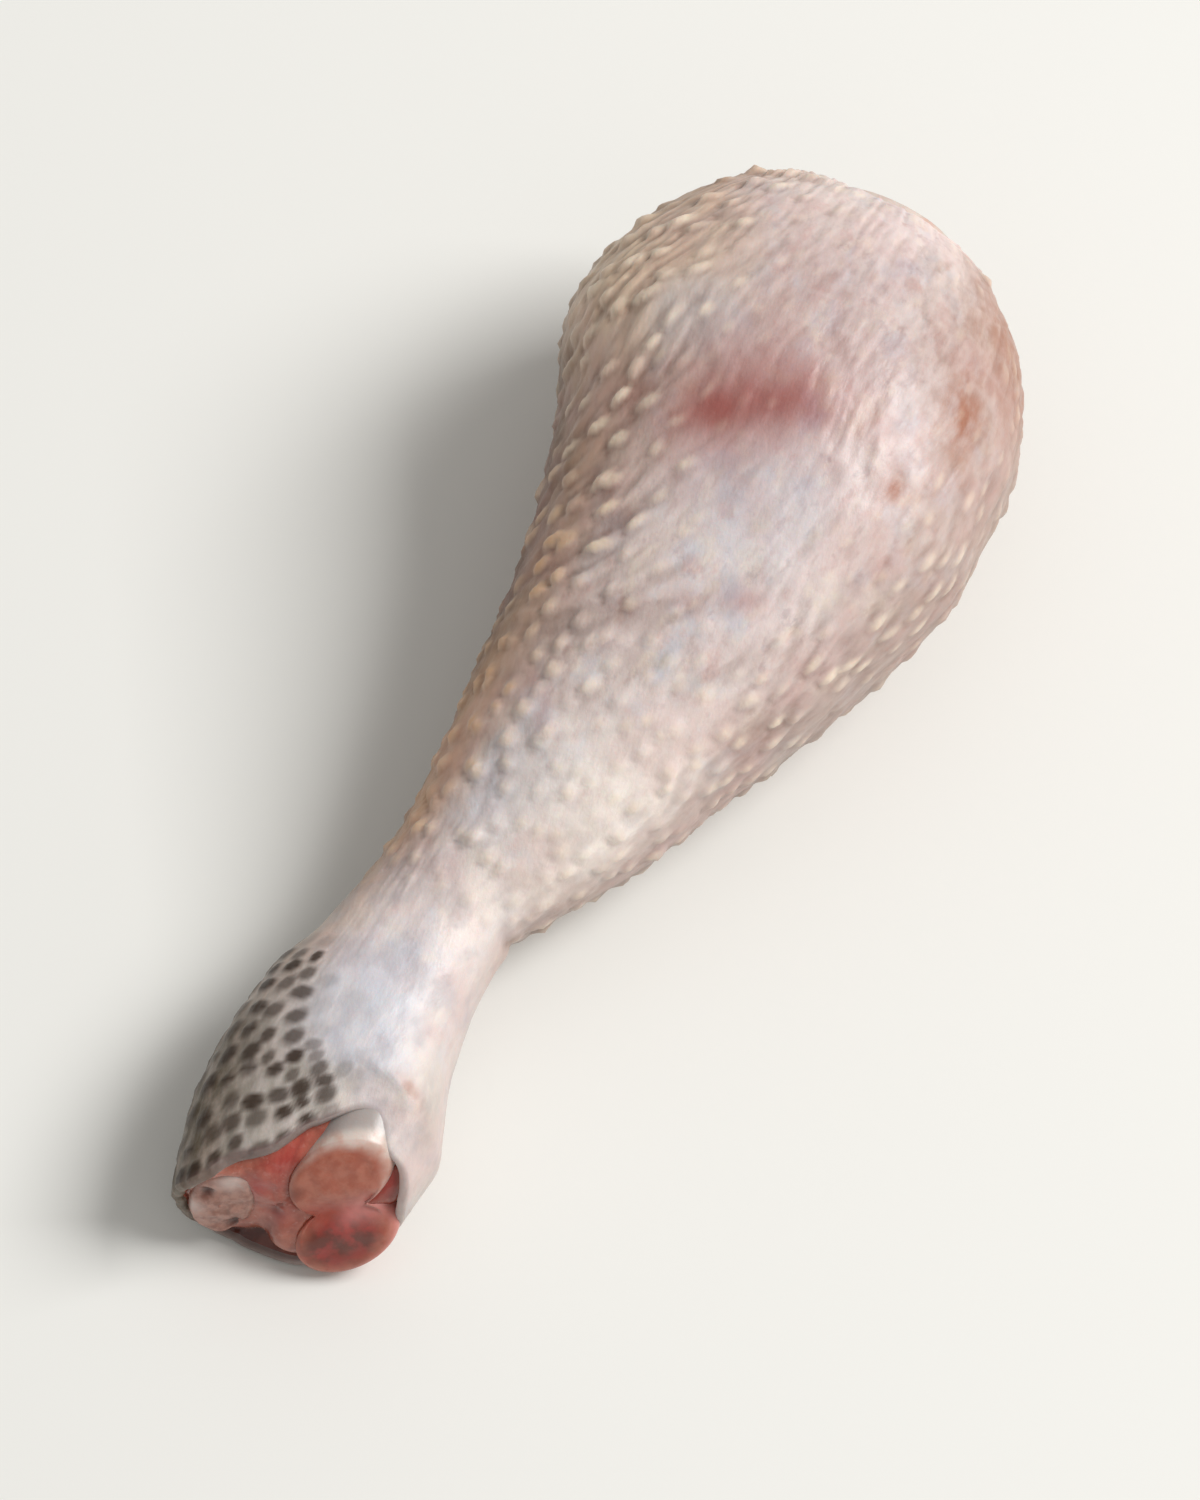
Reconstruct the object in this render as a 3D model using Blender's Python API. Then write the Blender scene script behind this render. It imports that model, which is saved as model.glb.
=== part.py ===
"""A raw chicken drumstick with its skin on, lying on its side as on a board.

Frame: +X runs from the hock to the knee, +Y to the back of the leg (the calf and heel), -Y to the shin,
+Z up. The drumstick rests on Z = 0 and its bounding box is centred on the origin.
Three solids: the skin and meat, the shin bone that runs through it and shows at both cuts, and the
heel tendons that show at the hock cut.
"""

import math

import bmesh
import bpy
import numpy as np
from mathutils import Matrix, Vector

MM = 0.001

# Sizes of the skinned leg in millimetres, before the shift that centres it.
# Each station: along the leg, back edge, shin edge, height of the middle, half height.
LEG_STATIONS = np.array([
    [-3.5, 12.2, -12.6, 9.6, 9.4],
    [4.0, 14.8, -13.1, 9.9, 10.2],
    [10.0, 15.3, -11.9, 10.2, 10.4],
    [18.0, 14.0, -9.6, 10.8, 9.3],
    [26.0, 11.4, -8.8, 11.4, 8.3],
    [34.0, 9.2, -9.4, 12.0, 8.3],
    [41.0, 8.0, -13.8, 13.0, 9.8],
    [50.0, 8.2, -19.2, 14.6, 12.6],
    [62.0, 8.6, -25.0, 16.6, 15.8],
    [76.0, 9.6, -31.4, 18.6, 18.8],
    [90.0, 12.6, -36.5, 20.2, 21.2],
    [103.0, 17.4, -37.3, 21.0, 22.4],
])
KNEE_REACH = 29.0  # length of the rounding that closes the knee end
KNEE_CENTRE = (-8.0, 23.0)  # y and z that the rounding closes towards
KNEE_RIM_ANGLE = math.radians(56)  # how far round the knee end the skin goes before it is cut
SKIN = 1.3  # skin thickness where it is cut
SKIN_CURL = 0.9  # how far the skin's edge stands past the flesh
RING_STEP = 2.08
COLUMNS = 64
LEG_ROUNDNESS = 2.2  # power of the leg's oval section, which is an ellipse at 2
HOCK_BOXINESS = (0.35, 22.0, 14.0)  # added to the power at the hock, where that starts, and its fade

# The skin's edge at the hock, as an angle round the leg and a place along it. The angle is 0 at the heel,
# 90 on top, 180 at the shin and 270 underneath. The heel runs on, and the skin draws back over the joint.
HOCK_RIM = np.array([
    [0.0, -9.6],
    [30.0, -9.9],
    [46.0, -8.6],
    [60.0, -5.6],
    [80.0, -2.6],
    [92.0, 3.0],
    [104.0, 6.1],
    [116.0, 5.8],
    [130.0, 3.6],
    [150.0, 2.7],
    [175.0, 0.0],
    [205.0, -1.0],
    [240.0, -4.5],
    [265.0, -8.2],
    [300.0, -8.8],
    [335.0, -9.5],
])
HOCK_MIDDLE = (-5.2, 0.6, 10.5)  # where the cut flesh meets the bone
CUT_FADE = 17.5  # length over which the rings turn from the slant to square

# Soft bulges and hollows: along, angle round the leg, length, angle, height.
MUSCLES = [
    (96.0, 30.0, 24.0, 42.0, 0.9),
    (82.0, 165.0, 26.0, 34.0, 0.8),
    (66.0, 100.0, 30.0, 15.0, -0.8),
    (112.0, 128.0, 12.0, 24.0, -0.7),
    (60.0, 250.0, 26.0, 18.0, -0.8),
]

# Feather follicles stand on every other vertex of every other ring, staggered.
FOLLICLE_HEIGHT = 0.62
FOLLICLES_FROM, FADE_IN = 24.0, 14.0
FOLLICLES_TO, FADE_OUT = 118.0, 10.0
CLOSE_SET_ABOVE = 13.0  # half height of the leg from which they stand on every other vertex, not every fourth
SMOOTH_TOP = (97.0, 122.0, 27.0, 52.0)  # along, angle, length and angle of the bare patch near the knee
SMOOTH_SHARE = 0.9  # how much of the follicles' height the bare patch takes away

# The cut at the knee: meat bundles round the bone.
MEAT_BUNDLES = 6
MEAT_BULGE = 1.7
MEAT_VALLEY = 0.35  # share of the bulge that is left between two bundles
MEAT_TURN = 0.5  # where round the cut the first bundle lies, in radians
MEAT_RINGS = 4

# The shin bone. Each station: along, centre y, centre z, half depth (Y), half width (Z), roll in degrees,
# and how far apart its two condyles are as a share of the half width, which is 0 on the round shaft.
BONE_STATIONS = np.array([
    [-3.4, -5.8, 10.0, 4.3, 7.8, 17.0, 0.46],
    [-2.2, -5.8, 10.0, 5.0, 8.5, 17.0, 0.46],
    [3.0, -5.3, 10.0, 5.0, 8.4, 15.0, 0.43],
    [10.0, -4.2, 10.3, 4.7, 7.2, 9.0, 0.30],
    [17.0, -2.9, 10.8, 4.2, 5.2, 4.0, 0.10],
    [26.0, -2.1, 11.6, 3.8, 4.0, 0.0, 0.0],
    [42.0, -3.4, 13.6, 3.7, 3.9, 0.0, 0.0],
    [64.0, -7.0, 16.8, 3.9, 4.0, 0.0, 0.0],
    [92.0, -10.8, 20.6, 4.8, 5.0, 0.0, 0.0],
    [108.0, -11.6, 22.4, 6.8, 6.6, 0.0, 0.05],
    [118.0, -11.4, 23.0, 9.0, 8.6, 0.0, 0.14],
    [126.0, -11.0, 23.0, 9.6, 9.4, 0.0, 0.22],
    [129.0, -11.0, 23.0, 8.4, 8.4, 0.0, 0.24],
])
BONE_DOME = 0.9  # how far the head stands out in its middle at the knee
BONE_CUT_DOME = 0.2  # and at the hock
BONE_CUT_LEAN = 0.62  # how far the bone's cut leans back for each millimetre of height
BONE_CUT_HEEL = -0.52  # and for each millimetre towards the heel
BONE_CUT_FADE = 15.0  # where the slant of the bone's cut has turned square
BONE_COLUMNS = 28
BONE_SPANS = ((-2.2, 17.0, 8), (17.0, 106.0, 12), (106.0, 129.0, 9))  # from, to and how many steps of rings

# The heel tendons. Each station: along, centre y, centre z, half depth, half width.
TENDON_STATIONS = np.array([
    [-8.9, 6.7, 9.6, 2.9, 5.0],
    [-8.0, 6.8, 9.8, 3.6, 5.8],
    [-2.0, 7.5, 9.9, 3.9, 5.5],
    [6.0, 8.8, 10.0, 3.6, 4.6],
    [14.0, 8.9, 10.4, 2.9, 3.5],
    [22.0, 7.6, 11.0, 2.2, 2.6],
    [32.0, 6.0, 12.0, 1.7, 2.0],
    [46.0, 3.6, 13.6, 1.2, 1.4],
])
TENDON_CUT_LEAN = 0.27
TENDON_CUT_HEEL = -0.42
TENDON_CUT_DOME = 0.3
TENDON_END_DOME = 0.5
TENDON_ROUNDNESS = 2.2
TENDON_COLUMNS = 16
TENDON_SPANS = ((-8.0, 22.0, 9), (22.0, 46.0, 4))

GAP = 0.3  # clearance between pieces that touch
CUTTER_REACH = 9.0  # how far a cutter runs past an open end

COLOURS = {
    "skin_and_meat": ((0.63, 0.47, 0.42), 0.42),
    "shin_bone": ((0.62, 0.29, 0.24), 0.35),
    "heel_tendons": ((0.66, 0.46, 0.41), 0.38),
}


def smooth_through(stations, along):
    """The columns after the first of a station table, at each value of along, on a smooth curve.

    The curve levels off towards the last station, with half the slope of the last span.
    """
    xs, ys = stations[:, 0], stations[:, 1:]
    slopes = np.empty_like(ys)
    slopes[1:-1] = (ys[2:] - ys[:-2]) / (xs[2:] - xs[:-2])[:, None]
    slopes[0] = (ys[1] - ys[0]) / (xs[1] - xs[0])
    slopes[-1] = 0.5 * (ys[-1] - ys[-2]) / (xs[-1] - xs[-2])
    along = np.atleast_1d(along)
    i = np.clip(np.searchsorted(xs, along, side="right") - 1, 0, len(xs) - 2)
    span = (xs[i + 1] - xs[i])[:, None]
    t = (along[:, None] - xs[i][:, None]) / span
    return (
        (2 * t**3 - 3 * t**2 + 1) * ys[i]
        + (t**3 - 2 * t**2 + t) * span * slopes[i]
        + (3 * t**2 - 2 * t**3) * ys[i + 1]
        + (t**3 - t**2) * span * slopes[i + 1]
    )


def ease(value):
    """0 below 0, 1 above 1, and a smooth step between."""
    t = np.clip(value, 0.0, 1.0)
    return t * t * (3 - 2 * t)


def angles(count):
    return np.linspace(0.0, 2 * math.pi, count, endpoint=False)


def round_section(turn, half_y, half_z, power):
    """Points of a rounded oval, which is an ellipse at power 2 and boxier above."""
    y = half_y * np.sign(np.cos(turn)) * np.abs(np.cos(turn)) ** (2 / power)
    z = half_z * np.sign(np.sin(turn)) * np.abs(np.sin(turn)) ** (2 / power)
    return y, z


def angle_between(turn, degrees):
    """Smallest angle from each turn to a direction, in degrees."""
    return np.abs((np.degrees(turn) - degrees + 180.0) % 360.0 - 180.0)


def muscle_relief(along, turn):
    """Height of the muscles' bulges and hollows at each point."""
    relief = np.zeros_like(turn)
    for x, degrees, length, width, height in MUSCLES:
        off = ((along - x) / length) ** 2 + (angle_between(turn, degrees) / width) ** 2
        relief += height * np.exp(-off)
    return relief


def follicle_mask(along, turn):
    """How much the follicles stand out: most at the calf, least on the bare patch near the knee."""
    ends = ease((along - FOLLICLES_FROM) / FADE_IN) * ease((FOLLICLES_TO - along) / FADE_OUT)
    x, degrees, length, width = SMOOTH_TOP
    off = ((along - x) / length) ** 2 + (angle_between(turn, degrees) / width) ** 2
    return ends * (1.0 - SMOOTH_SHARE * np.exp(-off * off))


def leg_line():
    """For each ring of the skin: along, back edge, shin edge, height of the middle and half height."""
    first, last = LEG_STATIONS[0, 0], LEG_STATIONS[-1, 0]
    steps = round((last - first) / RING_STEP)
    along = np.linspace(first, last, steps + 1)
    rows = np.column_stack([along, smooth_through(LEG_STATIONS, along)])
    back, shin, middle, half = rows[-1, 1:]
    centre, reach = (back + shin) / 2, (back - shin) / 2
    turns = round(KNEE_REACH * KNEE_RIM_ANGLE / RING_STEP)
    for angle in np.linspace(0.0, KNEE_RIM_ANGLE, turns + 1)[1:]:
        left = math.cos(angle)
        y = centre + (KNEE_CENTRE[0] - centre) * (1 - left)
        z = middle + (KNEE_CENTRE[1] - middle) * (1 - left)
        x = last + KNEE_REACH * math.sin(angle)
        rows = np.vstack([rows, [x, y + reach * left, y - reach * left, z, half * left]])
    return rows


def hock_rim(turn):
    """Place along the leg of the skin's edge at the hock, at each angle."""
    around = np.vstack([HOCK_RIM - [360.0, 0.0], HOCK_RIM, HOCK_RIM + [360.0, 0.0]])
    return smooth_through(around, np.degrees(turn))[:, 0]


def leg_rings():
    """The skin's rings, hock to knee, each COLUMNS points."""
    turn = angles(COLUMNS)
    column = np.arange(COLUMNS)
    extra, boxy_from, boxy_fade = HOCK_BOXINESS
    rings = []
    for number, (along, back, shin, middle, half) in enumerate(leg_line()):
        boxy = LEG_ROUNDNESS + extra * ease((boxy_from - along) / boxy_fade)
        reach = (back - shin) / 2
        relief = muscle_relief(along, turn)
        apart = 2 if half > CLOSE_SET_ABOVE else 4
        standing = (number % 2 == 0) & ((column + apart // 2 * (number // 2 % 2)) % apart == 0)
        relief += FOLLICLE_HEIGHT * standing * follicle_mask(along, turn)
        y, z = round_section(turn, reach + relief, half + relief, boxy)
        y += (back + shin) / 2
        z = np.maximum(z + middle, 0.0)
        slant = ease((CUT_FADE + LEG_STATIONS[0, 0] - along) / CUT_FADE)
        x = along + slant * (hock_rim(turn) - LEG_STATIONS[0, 0])
        rings.append(np.column_stack([x, y, z]))
    return rings


def shrunk(ring, margin, sideways):
    """A ring moved inwards by a margin and along X by sideways."""
    centre = ring.mean(axis=0)
    spokes = ring - centre
    spokes[:, 0] = 0.0
    length = np.linalg.norm(spokes, axis=1, keepdims=True)
    inner = ring - spokes / length * margin
    inner[:, 0] += sideways
    return inner


def blended(outer, centre, share):
    return outer + (centre - outer) * share


def hock_face(rim):
    """From the middle of the hock cut out to the skin's edge."""
    flesh = shrunk(rim, SKIN, SKIN_CURL)
    centre = np.array(HOCK_MIDDLE)
    return centre, [blended(flesh, centre, 0.5), flesh]


def knee_face(rim):
    """From the skin's edge to the middle of the knee cut, over the meat's bundles."""
    flesh = shrunk(rim, SKIN, -SKIN_CURL)
    centre = flesh.mean(axis=0)
    lobes = np.abs(np.cos(MEAT_BUNDLES / 2 * angles(COLUMNS) + MEAT_TURN))
    rings = [flesh]
    for share in np.arange(1, MEAT_RINGS) / MEAT_RINGS:
        ring = blended(flesh, centre, share)
        ring[:, 0] += MEAT_BULGE * math.sin(math.pi * share) * (MEAT_VALLEY + (1 - MEAT_VALLEY) * lobes)
        rings.append(ring)
    return rings, centre


def rows_along(stations, spans):
    """The first station, then rows of the smoothed table over each span's steps."""
    along = np.concatenate([stations[:1, 0]] + [np.linspace(start, end, n + 1) for start, end, n in spans])
    along = np.unique(along)
    return np.column_stack([along, smooth_through(stations, along)])


def two_lobed(turn, half_y, half_z, apart):
    """Points of two ovals side by side along Z, which are one ellipse where apart is 0."""
    y, z = np.cos(turn), np.sin(turn)
    into_lobe = np.clip((np.abs(z) - apart) / (1 - apart), -1.0, 1.0)
    return half_y * np.sign(y) * np.sqrt(1 - into_lobe**2), half_z * z


def grown_outline(y, z, margin):
    """A closed outline moved outwards by a margin."""
    along_y, along_z = np.roll(y, -1) - np.roll(y, 1), np.roll(z, -1) - np.roll(z, 1)
    length = np.hypot(along_y, along_z)
    return y + margin * along_z / length, z - margin * along_y / length


def bone_rings(margin=0.0):
    turn = angles(BONE_COLUMNS)
    rings = []
    for along, y0, z0, depth, width, roll, apart in rows_along(BONE_STATIONS, BONE_SPANS):
        y, z = grown_outline(*two_lobed(turn, depth, width, apart), margin)
        lean = math.radians(roll)
        y, z = y * math.cos(lean) + z * math.sin(lean), z * math.cos(lean) - y * math.sin(lean)
        slant = ease((BONE_CUT_FADE - along) / CUT_FADE)
        x = along + slant * (BONE_CUT_LEAN * z + BONE_CUT_HEEL * y)
        rings.append(np.column_stack([x, y + y0, z + z0]))
    return rings


def tendon_rings(margin=0.0):
    turn = angles(TENDON_COLUMNS)
    rings = []
    for along, y0, z0, depth, width in rows_along(TENDON_STATIONS, TENDON_SPANS):
        y, z = grown_outline(*round_section(turn, depth, width, TENDON_ROUNDNESS), margin)
        slant = ease((CUT_FADE + TENDON_STATIONS[0, 0] - along) / CUT_FADE)
        x = along + slant * (TENDON_CUT_LEAN * z + TENDON_CUT_HEEL * y)
        rings.append(np.column_stack([x, y + y0, z + z0]))
    return rings


def tip(ring, out):
    """The middle of a ring, moved along X."""
    centre = ring.mean(axis=0)
    centre[0] += out
    return centre


def moved(ring, out):
    return ring + np.array([out, 0.0, 0.0])


def loft(name, first_tip, rings, last_tip, collection):
    """A closed mesh through the rings, in metres, closed at each end by a fan to its tip."""
    mesh = bmesh.new()
    rows = [[mesh.verts.new(point * MM) for point in ring] for ring in rings]
    start, end = mesh.verts.new(first_tip * MM), mesh.verts.new(last_tip * MM)
    count = len(rows[0])
    for j in range(count):
        k = (j + 1) % count
        mesh.faces.new((start, rows[0][j], rows[0][k]))
        mesh.faces.new((end, rows[-1][k], rows[-1][j]))
        for near, far in zip(rows, rows[1:]):
            mesh.faces.new((near[j], far[j], far[k], near[k]))
    bmesh.ops.recalc_face_normals(mesh, faces=mesh.faces)
    data = bpy.data.meshes.new(name)
    mesh.to_mesh(data)
    mesh.free()
    data.shade_smooth()
    piece = bpy.data.objects.new(name, data)
    collection.objects.link(piece)
    return piece


def make_collection(name):
    collection = bpy.data.collections.new(name)
    bpy.context.scene.collection.children.link(collection)
    return collection


def paint(piece):
    colour, roughness = COLOURS[piece.name]
    material = bpy.data.materials.new(piece.name)
    material.use_nodes = True
    shader = material.node_tree.nodes["Principled BSDF"]
    shader.inputs["Base Color"].default_value = (*colour, 1.0)
    shader.inputs["Roughness"].default_value = roughness
    shader.inputs["Metallic"].default_value = 0.0
    piece.data.materials.append(material)


def make_leg(parts):
    """The skin and meat, closed, before the bone and tendons are cut out of it."""
    rings = leg_rings()
    hock_middle, hock = hock_face(rings[0])
    knee, knee_middle = knee_face(rings[-1])
    return loft("skin_and_meat", hock_middle, hock + rings + knee, knee_middle, parts)


def make_bone(parts):
    rings = bone_rings()
    return loft("shin_bone", tip(rings[0], -BONE_CUT_DOME), rings, tip(rings[-1], BONE_DOME), parts)


def make_tendons(parts):
    rings = tendon_rings()
    first, last = tip(rings[0], -TENDON_CUT_DOME), tip(rings[-1], TENDON_END_DOME)
    return loft("heel_tendons", first, rings, last, parts)


def make_bone_cutter(cutters):
    """The bone grown by the gap and run on past both cuts."""
    rings = bone_rings(GAP)
    rings = [moved(rings[1], -CUTTER_REACH), *rings[1:-1], moved(rings[-2], CUTTER_REACH)]
    return loft("bone_cutter", tip(rings[0], 0.0), rings, tip(rings[-1], 0.0), cutters)


def make_tendon_cutter(cutters):
    """The tendons grown by the gap and run on past the hock cut."""
    rings = tendon_rings(GAP)
    rings = [moved(rings[1], -CUTTER_REACH), *rings[1:]]
    first, last = tip(rings[0], 0.0), tip(rings[-1], TENDON_END_DOME + GAP)
    return loft("tendon_cutter", first, rings, last, cutters)


def cut_out(piece, cutter):
    cutter.hide_render = True
    cutter.display_type = "WIRE"
    cut = piece.modifiers.new(cutter.name, "BOOLEAN")
    cut.operation = "DIFFERENCE"
    cut.object = cutter


def centre_on_origin(solids, all_objects):
    """Moves every mesh so that the solids' box is centred on the origin and stands on Z = 0."""
    points = np.array([v.co for piece in solids for v in piece.data.vertices])
    low, high = points.min(axis=0), points.max(axis=0)
    shift = Vector((-(low[0] + high[0]) / 2, -(low[1] + high[1]) / 2, -low[2]))
    for piece in all_objects:
        piece.data.transform(Matrix.Translation(shift))


def main():
    for thing in list(bpy.data.objects):
        bpy.data.objects.remove(thing)
    parts = make_collection("raw_chicken_drumstick")
    cutters = make_collection("cutters")
    leg, bone, tendons = make_leg(parts), make_bone(parts), make_tendons(parts)
    bone_cutter, tendon_cutter = make_bone_cutter(cutters), make_tendon_cutter(cutters)
    centre_on_origin([leg, bone, tendons], [leg, bone, tendons, bone_cutter, tendon_cutter])
    cut_out(leg, bone_cutter)
    cut_out(leg, tendon_cutter)
    for piece in (leg, bone, tendons):
        paint(piece)


main()
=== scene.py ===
"""The looks of a raw chicken drumstick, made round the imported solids.

The tables are in millimetres in the leg's own frame: X from the hock to the knee, +Y to the calf and heel,
-Y to the shin, Z up from the surface that it lies on. TO_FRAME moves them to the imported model's frame.
The angle round the leg, called turn, is 0 at the heel, 90 on top, 180 at the shin and 270 underneath.
"""

import itertools
import math

import bpy
import numpy as np
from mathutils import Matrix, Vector


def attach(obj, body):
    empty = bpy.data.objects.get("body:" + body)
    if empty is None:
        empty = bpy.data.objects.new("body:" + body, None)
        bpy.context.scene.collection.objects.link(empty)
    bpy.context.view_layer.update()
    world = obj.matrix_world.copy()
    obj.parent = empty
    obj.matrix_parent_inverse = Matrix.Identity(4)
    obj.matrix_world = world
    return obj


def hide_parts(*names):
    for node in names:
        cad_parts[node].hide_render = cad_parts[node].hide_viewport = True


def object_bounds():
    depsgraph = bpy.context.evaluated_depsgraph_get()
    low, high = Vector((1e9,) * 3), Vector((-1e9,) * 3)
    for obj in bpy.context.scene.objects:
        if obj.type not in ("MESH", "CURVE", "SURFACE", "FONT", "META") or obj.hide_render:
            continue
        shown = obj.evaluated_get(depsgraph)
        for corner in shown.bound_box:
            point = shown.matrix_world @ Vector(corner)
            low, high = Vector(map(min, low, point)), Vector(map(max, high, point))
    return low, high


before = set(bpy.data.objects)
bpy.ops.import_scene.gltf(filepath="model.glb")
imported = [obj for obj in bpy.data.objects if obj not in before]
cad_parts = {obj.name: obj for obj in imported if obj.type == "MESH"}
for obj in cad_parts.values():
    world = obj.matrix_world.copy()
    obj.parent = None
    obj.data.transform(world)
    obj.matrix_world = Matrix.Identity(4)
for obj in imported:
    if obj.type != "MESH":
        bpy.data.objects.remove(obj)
cad_low, cad_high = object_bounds()

MM = 0.001
TO_FRAME = (-59.563, 9.881, 0)

# The skinned leg. Each station: along the leg, back edge, shin edge, height of the middle, half height.
LEG_STATIONS = np.array([
    [-3.5, 12.2, -12.6, 9.6, 9.4],
    [4, 14.8, -13.1, 9.9, 10.2],
    [10, 15.3, -11.9, 10.2, 10.4],
    [18, 14, -9.6, 10.8, 9.3],
    [26, 11.4, -8.8, 11.4, 8.3],
    [34, 9.2, -9.4, 12, 8.3],
    [41, 8, -13.8, 13, 9.8],
    [50, 8.2, -19.2, 14.6, 12.6],
    [62, 8.6, -25, 16.6, 15.8],
    [76, 9.6, -31.4, 18.6, 18.8],
    [90, 12.6, -36.5, 20.2, 21.2],
    [103, 17.4, -37.3, 21, 22.4],
])
KNEE_REACH = 29  # length of the rounding that closes the knee end
KNEE_CENTRE = (-8, 23)  # y and z that the rounding closes towards
KNEE_RIM_ANGLE = math.radians(56)  # how far round the knee end the skin goes before it is cut
LEG_ROUNDNESS = 2.2  # power of the leg's oval section, which is an ellipse at 2
HOCK_BOXINESS = (0.35, 22, 14)  # added to the power at the hock, where that starts, and its fade
RING_STEP = 0.6
COLUMNS = 336
FINE_SIDE = (100, 0.45)  # angle that the columns crowd towards, and how much

# The skin's edge at the hock, as an angle round the leg and a place along it.
HOCK_RIM = np.array([
    [0, -9.6], [30, -9.9], [46, -8.6], [60, -5.6],
    [80, -2.6], [92, 3], [104, 6.1], [116, 5.8],
    [130, 3.6], [150, 2.7], [175, 0], [205, -1],
    [240, -4.5], [265, -8.2], [300, -8.8], [335, -9.5],
])
HOCK_MIDDLE = (-5.2, 0.6, 10.5)  # where the cut flesh meets the bone
CUT_FADE = 17.5  # length over which the rings turn from the slant to square
SKIN = 1.3  # skin thickness where it is cut
SKIN_CURL = 0.9  # how far the skin's edge stands past the flesh
SKIN_LIP = 0.45  # how far the cut edge of the skin rounds outwards
SKIN_SET_IN = 0.12  # how far the skin lies inside the smooth leg, where no relief lifts it
LIP_RINGS = 6
CURL_SHARES = (0.35, 0.75, 1)  # shares of the curl at the rings between the edge and the flesh
HOCK_RINGS = 22
KNEE_RINGS = 26

# Soft bulges and hollows: along, angle round the leg, length, angle, height.
MUSCLES = [
    (96, 30, 24, 42, 0.9),
    (82, 165, 26, 34, 0.8),
    (66, 100, 30, 15, -0.8),
    (112, 128, 12, 24, -0.7),
    (60, 250, 26, 18, -0.8),
]

# Feather follicles, in rows round the leg. They are plump near the hock and slender near the knee.
FOLLICLES_FROM, FADE_IN = 27, 14
FOLLICLES_TO = 127
FOLLICLE_ROW_STEPS = (2.9, 4.1)  # near the hock and near the knee
FOLLICLES_APART = (3.7, 4.3)
PLUMP_AT, SLENDER_AT = 50, 80
FOLLICLE_LENGTHS = (3, 4.1)  # plump and slender
FOLLICLE_WIDTHS = (2.35, 1.65)
FOLLICLE_HEIGHT = 0.52
FOLLICLE_LEAN = 44  # degrees that those on the back turn from the leg's line towards the heel
AMBER_TIPS = (56, 26, 27, 40)  # along, angle, length and angle of the area where the tips are amber
BOLD_TIPS = [(92, 56, 24, 32), (80, 152, 20, 22)]  # the same where they stand out the most
SMOOTH_TOP = (100, 112, 28, 50)  # along, angle, length and angle of the bare patch near the knee
TIPS_EARLIER = 4  # how much nearer to the hock the tips begin than the relief
GRAIN_EDGE = (1.12, 0.7)  # where a follicle ends and over what share it rounds off, in shares of its size
ROD_EDGE = (1.12, 0.55)  # the same for a long tip
DOT_EDGE = (1.05, 0.8)  # and for a round one

# Where the follicles change: a direction round the leg and a width, or a place along it and a length.
LEAN_MOST = (20, 68)
THIN_ON_TOP = (112, 36)
THIN_ON_SHIN = (175, 42)
SPARSE_FROM = (48, 26)
LEAN_MORE_FROM = (55, 30)

# The small dark scales behind the hock.
SCALES_TO = 25
SCALE_ROW_STEP = 2.5
SCALES_APART = 2.8
SCALE_LENGTH = 2.75
SCALE_WIDTH = 1.85
SCALE_HEIGHT = 0.2
SCALE_LEAN = 40
SCALE_RELIEF_EDGE = (1.25, 0.6)  # where a scale ends and over what share, in shares of its size
SCALE_COLOUR_EDGE = (1.25, 0.7)
SCALES_FACE = 4  # the direction round the leg in which their middle lies
SCALES_REACH = (98, 3, 1.6)  # degrees to each side, up to what place, and degrees less a millimetre
SCALES_FADE = (16, 7)  # degrees and length over which they end

# Heights of the fine relief all over the skin.
FOLD_HEIGHT = 0.16
LEAST_FOLD_HEIGHT = 0.03  # where the skin is tight
LUMP_HEIGHT = 0.2
PEBBLE_HEIGHT = 0.08
STREAK_HEIGHT = 0.03
FINE_HEIGHT = 0.025
CREASE = (33, 195, 1.1, 42, 0.6)  # along, angle, length, angle and depth of the fold above the hock

FLESH_LUMPS = 0.3  # height of the lumps on the cut flesh at both ends

# The cut at the knee: meat bundles round the bone.
MEAT_BUNDLES = 6
MEAT_BULGE = 1.7
MEAT_VALLEY = 0.35  # share of the bulge that is left between two bundles
MEAT_TURN = 0.5  # where round the cut the first bundle lies, in radians
SEAM_EDGE = (0.28, 0.24)  # share of a bundle's height where the pale seam ends, and its fade

# The shin bone. Each station: along, centre y, centre z, half depth (Y), half width (Z), roll in degrees,
# and how far apart its two condyles are as a share of the half width, which is 0 on the round shaft.
BONE_STATIONS = np.array([
    [-3.4, -5.8, 10, 5, 8.5, 17, 0.46],
    [-2.2, -5.8, 10, 5, 8.5, 17, 0.46],
    [3, -5.3, 10, 5, 8.4, 15, 0.43],
    [10, -4.2, 10.3, 4.7, 7.2, 9, 0.30],
    [17, -2.9, 10.8, 4.2, 5.2, 4, 0.10],
    [26, -2.1, 11.6, 3.8, 4, 0, 0],
    [42, -3.4, 13.6, 3.7, 3.9, 0, 0],
    [64, -7, 16.8, 3.9, 4, 0, 0],
    [92, -10.8, 20.6, 4.8, 5, 0, 0],
    [108, -11.6, 22.4, 6.8, 6.6, 0, 0.05],
    [118, -11.4, 23, 9, 8.6, 0, 0.14],
    [126, -11, 23, 9.6, 9.4, 0, 0.22],
    [129, -11, 23, 8.4, 8.4, 0, 0.24],
])
BONE_DOME = 0.9
BONE_CUT_LEAN = 0.62  # how far the bone's cut leans back for each millimetre of height
BONE_CUT_HEEL = -0.52  # and for each millimetre towards the heel
BONE_CUT_FADE = 15
BONE_RIM = (0.9, 0.6)  # how far along and how deep the edge of the bone's cut is rounded
BONE_COLUMNS = 112
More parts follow.
